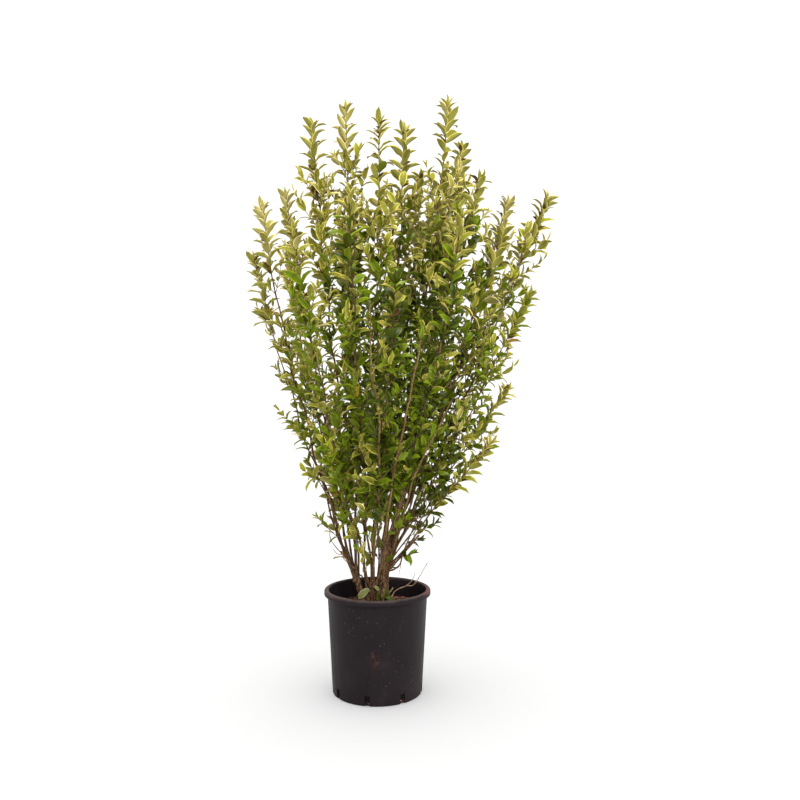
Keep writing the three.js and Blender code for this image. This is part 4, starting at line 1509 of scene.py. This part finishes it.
# Lifts across the crown's half width: sides paler, partly gold and partly painted light; middle darker as
# painted shade
LIFT_SHARES = (0.28, 0.52, 0.95)
GOLD_AND_PAINTED_LIGHT_LIFTS = (-0.20, 0.12, 0.58)
NO_DARKER_ABOVE = 1.12
STRAY_SHARE = 0.35
SPRAY_DRAW = (0.06, 0.97)
PLUME_TONE = 0.4
TIP_TONE = 0.9
TONE_FALL = 1.6
LOW_CANE = 1.2
LOW_CANE_LOSS = 0.25
LEAF_ROUGHNESS = 0.33
LEAF_SHINE = 0.11


def crown_gold_and_painted_light(places, tones):
    """How far a draw is lifted: up at the crown's sides, partly gold, partly painted light; down in its
    middle as painted shade.
    """
    half = np.interp(places[:, 2], CROWN_HEIGHTS, CROWN_HALF_WIDTHS)
    lift = np.interp(np.abs(places[:, 0] - CROWN_MIDDLE) / half, LIFT_SHARES, GOLD_AND_PAINTED_LIGHT_LIFTS)
    return np.where(tones > NO_DARKER_ABOVE, np.maximum(lift, 0), lift)


def deal_palettes(heights, sprays, lift):
    """A palette for each leaf: one draw for its spray, and now and then one of its own."""
    table = np.cumsum([np.interp(heights, ODDS_HEIGHTS, column) for column in zip(*ODDS)], axis=0)
    table /= table[-1]
    numbers, which = np.unique(sprays, return_inverse=True)
    draw = rng.uniform(*SPRAY_DRAW, len(numbers))[which.ravel()]
    stray = rng.uniform(0, 1, len(heights)) < STRAY_SHARE
    draw = np.where(stray, rng.uniform(SPRAY_DRAW[0], 1, len(heights)), draw)
    draw = np.where(lift > 0, lift + (1 - lift) * draw, (1 + lift) * draw)
    return np.where(sprays == SHADED_BRONZE_BUD_SPRAY, BRONZE, (draw[None] > table).sum(axis=0))


def palette_paints(palettes):
    """Three plain materials for each palette, in the order of the roles."""
    return [plain_material(f"leaf_{name}_{role}", colour, LEAF_ROUGHNESS, LEAF_SHINE)
            for name, *colours in palettes for role, colour in zip(ROLES, colours)]


leaf_paints = palette_paints(PALETTES)
tip_heights = TIPS[owner, 2]
plume_tone = PLUME_TONE * tip_heights + TIP_TONE - TONE_FALL * (tip_heights - place[:, 2])
low_front = (tip_heights < LOW_CANE) & (TIPS[owner, 1] < 0)
tone = np.maximum(place[:, 2], plume_tone - LOW_CANE_LOSS * low_front)
palette = deal_palettes(tone, spray, crown_gold_and_painted_light(place, tone))
print("leaves by palette:", dict(zip([row[0] for row in PALETTES], np.bincount(palette[kept]).tolist())))

# %% [markdown]
# ## Leaf pieces
# One mesh with all the leaves would be slow to look at and hard to mend, so the crown is six pieces. Each
# gathers the leaves of some neighbouring canes and stands for their masses of foliage among the solids.

# %% Build the leaf pieces
LEAF_SMOOTH_DEG = 32
group_of_leaf = np.array(GROUPS)[owner]

for group in GROUP_RULES:
    parts = []
    for number, model in enumerate(leaf_models):
        these = kept & (group_of_leaf == group) & (kind == number)
        slots = palette[these] * len(ROLES)
        parts.append(place_copies(model, leaf_frames[these], place[these], length[these, 0], slots))
    nodes = ["foliage_" + name for name, other in zip(NAMES, GROUPS) if other == group]
    finish_piece(write_piece("leaves_" + group, parts, LEAF_SMOOTH_DEG), leaf_paints, nodes)

# %% [markdown]
# ## Leaves by the stools
# A few leaves sprout from the old wood, low down and in the shade. There are only five, so no rule is
# needed: each is placed by its foot, its tip and the way it faces. They have two dull palettes of their own.

# %% A few leaves low down by the stools
LOW_PALETTES = (
    # name, centre, margin, underside
    ("pale", "#6a6e3e", "#8c8f62", "#75794c"),
    ("dim", "#353f0c", "#525b1b", "#465010"),
)
LOW_NAMES = [row[0] for row in LOW_PALETTES]
LOW_LEAVES = (
    # foot, tip, facing, palette, kind
    ((-0.0526, -0.034, 0.264), (-0.0194, -0.030, 0.2956), (0.1, -0.65, 0.75), "pale", "broad"),
    ((0.0500, -0.050, 0.262), (0.0235, -0.058, 0.276), (0.0, -0.7, 0.7), "dim", "broad"),
    ((0.0215, -0.046, 0.262), (0.0305, -0.052, 0.299), (0.3, -0.9, 0.2), "dim", "plume"),
    ((0.0060, -0.036, 0.288), (-0.0110, -0.044, 0.304), (0.1, -0.6, 0.7), "pale", "broad"),
    ((0.0120, -0.044, 0.262), (0.0010, -0.056, 0.290), (-0.2, -0.9, 0.3), "dim", "plume"),
)
parts = []
for foot, tip, toward, colours, shape in LOW_LEAVES:
    run = np.subtract(tip, foot)
    line = unit(run)
    over = unit(toward - line * np.dot(toward, line))
    frames = np.array([[np.cross(line, over), line, over]])
    size = np.array([np.linalg.norm(run)])
    slot = np.array([LOW_NAMES.index(colours) * len(ROLES)])
    parts.append(place_copies(leaf_models[KIND[shape]], frames, np.array([foot]), size, slot))
low_leaves = write_piece("leaves_by_the_stools", parts, LEAF_SMOOTH_DEG)
finish_piece(low_leaves, palette_paints(LOW_PALETTES))

# %% [markdown]
# ## Twigs
# The side shoots are thin tubes of two lengths, each with five sides. One tube is modelled, and its copies
# are stretched to each length: the run along one axis, the thickness along the other two.

# %% Twigs
TWIG_RADIUS = (0.0010, 0.0015)
TWIG_TAPER = 0.7
TWIG_SIDES = 5
TWIG_SMOOTH_DEG = 60
twig_paint = plain_material("twig_brown", "#6c5737", roughness=0.7)

start_fresh()
bpy.ops.mesh.primitive_cone_add(vertices=TWIG_SIDES, radius1=1, radius2=TWIG_TAPER, depth=1,
                                location=(0, 0, 0.5))
twig = named("twig")
bpy.ops.object.transform_apply()
twig_model = read_model(twig)

places, frames = [], []
for foot, middle, tip in shoots:
    radius = rng.uniform(*TWIG_RADIUS)
    for start, end, thick in ((foot, middle, radius), (middle, tip, radius * TWIG_TAPER)):
        first, second = sides_of(unit(end - start))
        places.append(start)
        frames.append((first * thick, second * thick, end - start))
count = len(places)
copies = place_copies(twig_model, np.array(frames), np.array(places), np.ones(count), np.zeros(count, int))
finish_piece(write_piece("twigs", [copies], TWIG_SMOOTH_DEG), [twig_paint])

# %% [markdown]
# ## The two boxes
# The box of all that was built is printed beside the box of the plain solids, so that their sizes
# can be compared.

# %% Write the sizes and finish
low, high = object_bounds()
sizes = {"cad": [list(cad_low), list(cad_high)], "visual": [list(low), list(high)]}
print(sizes)
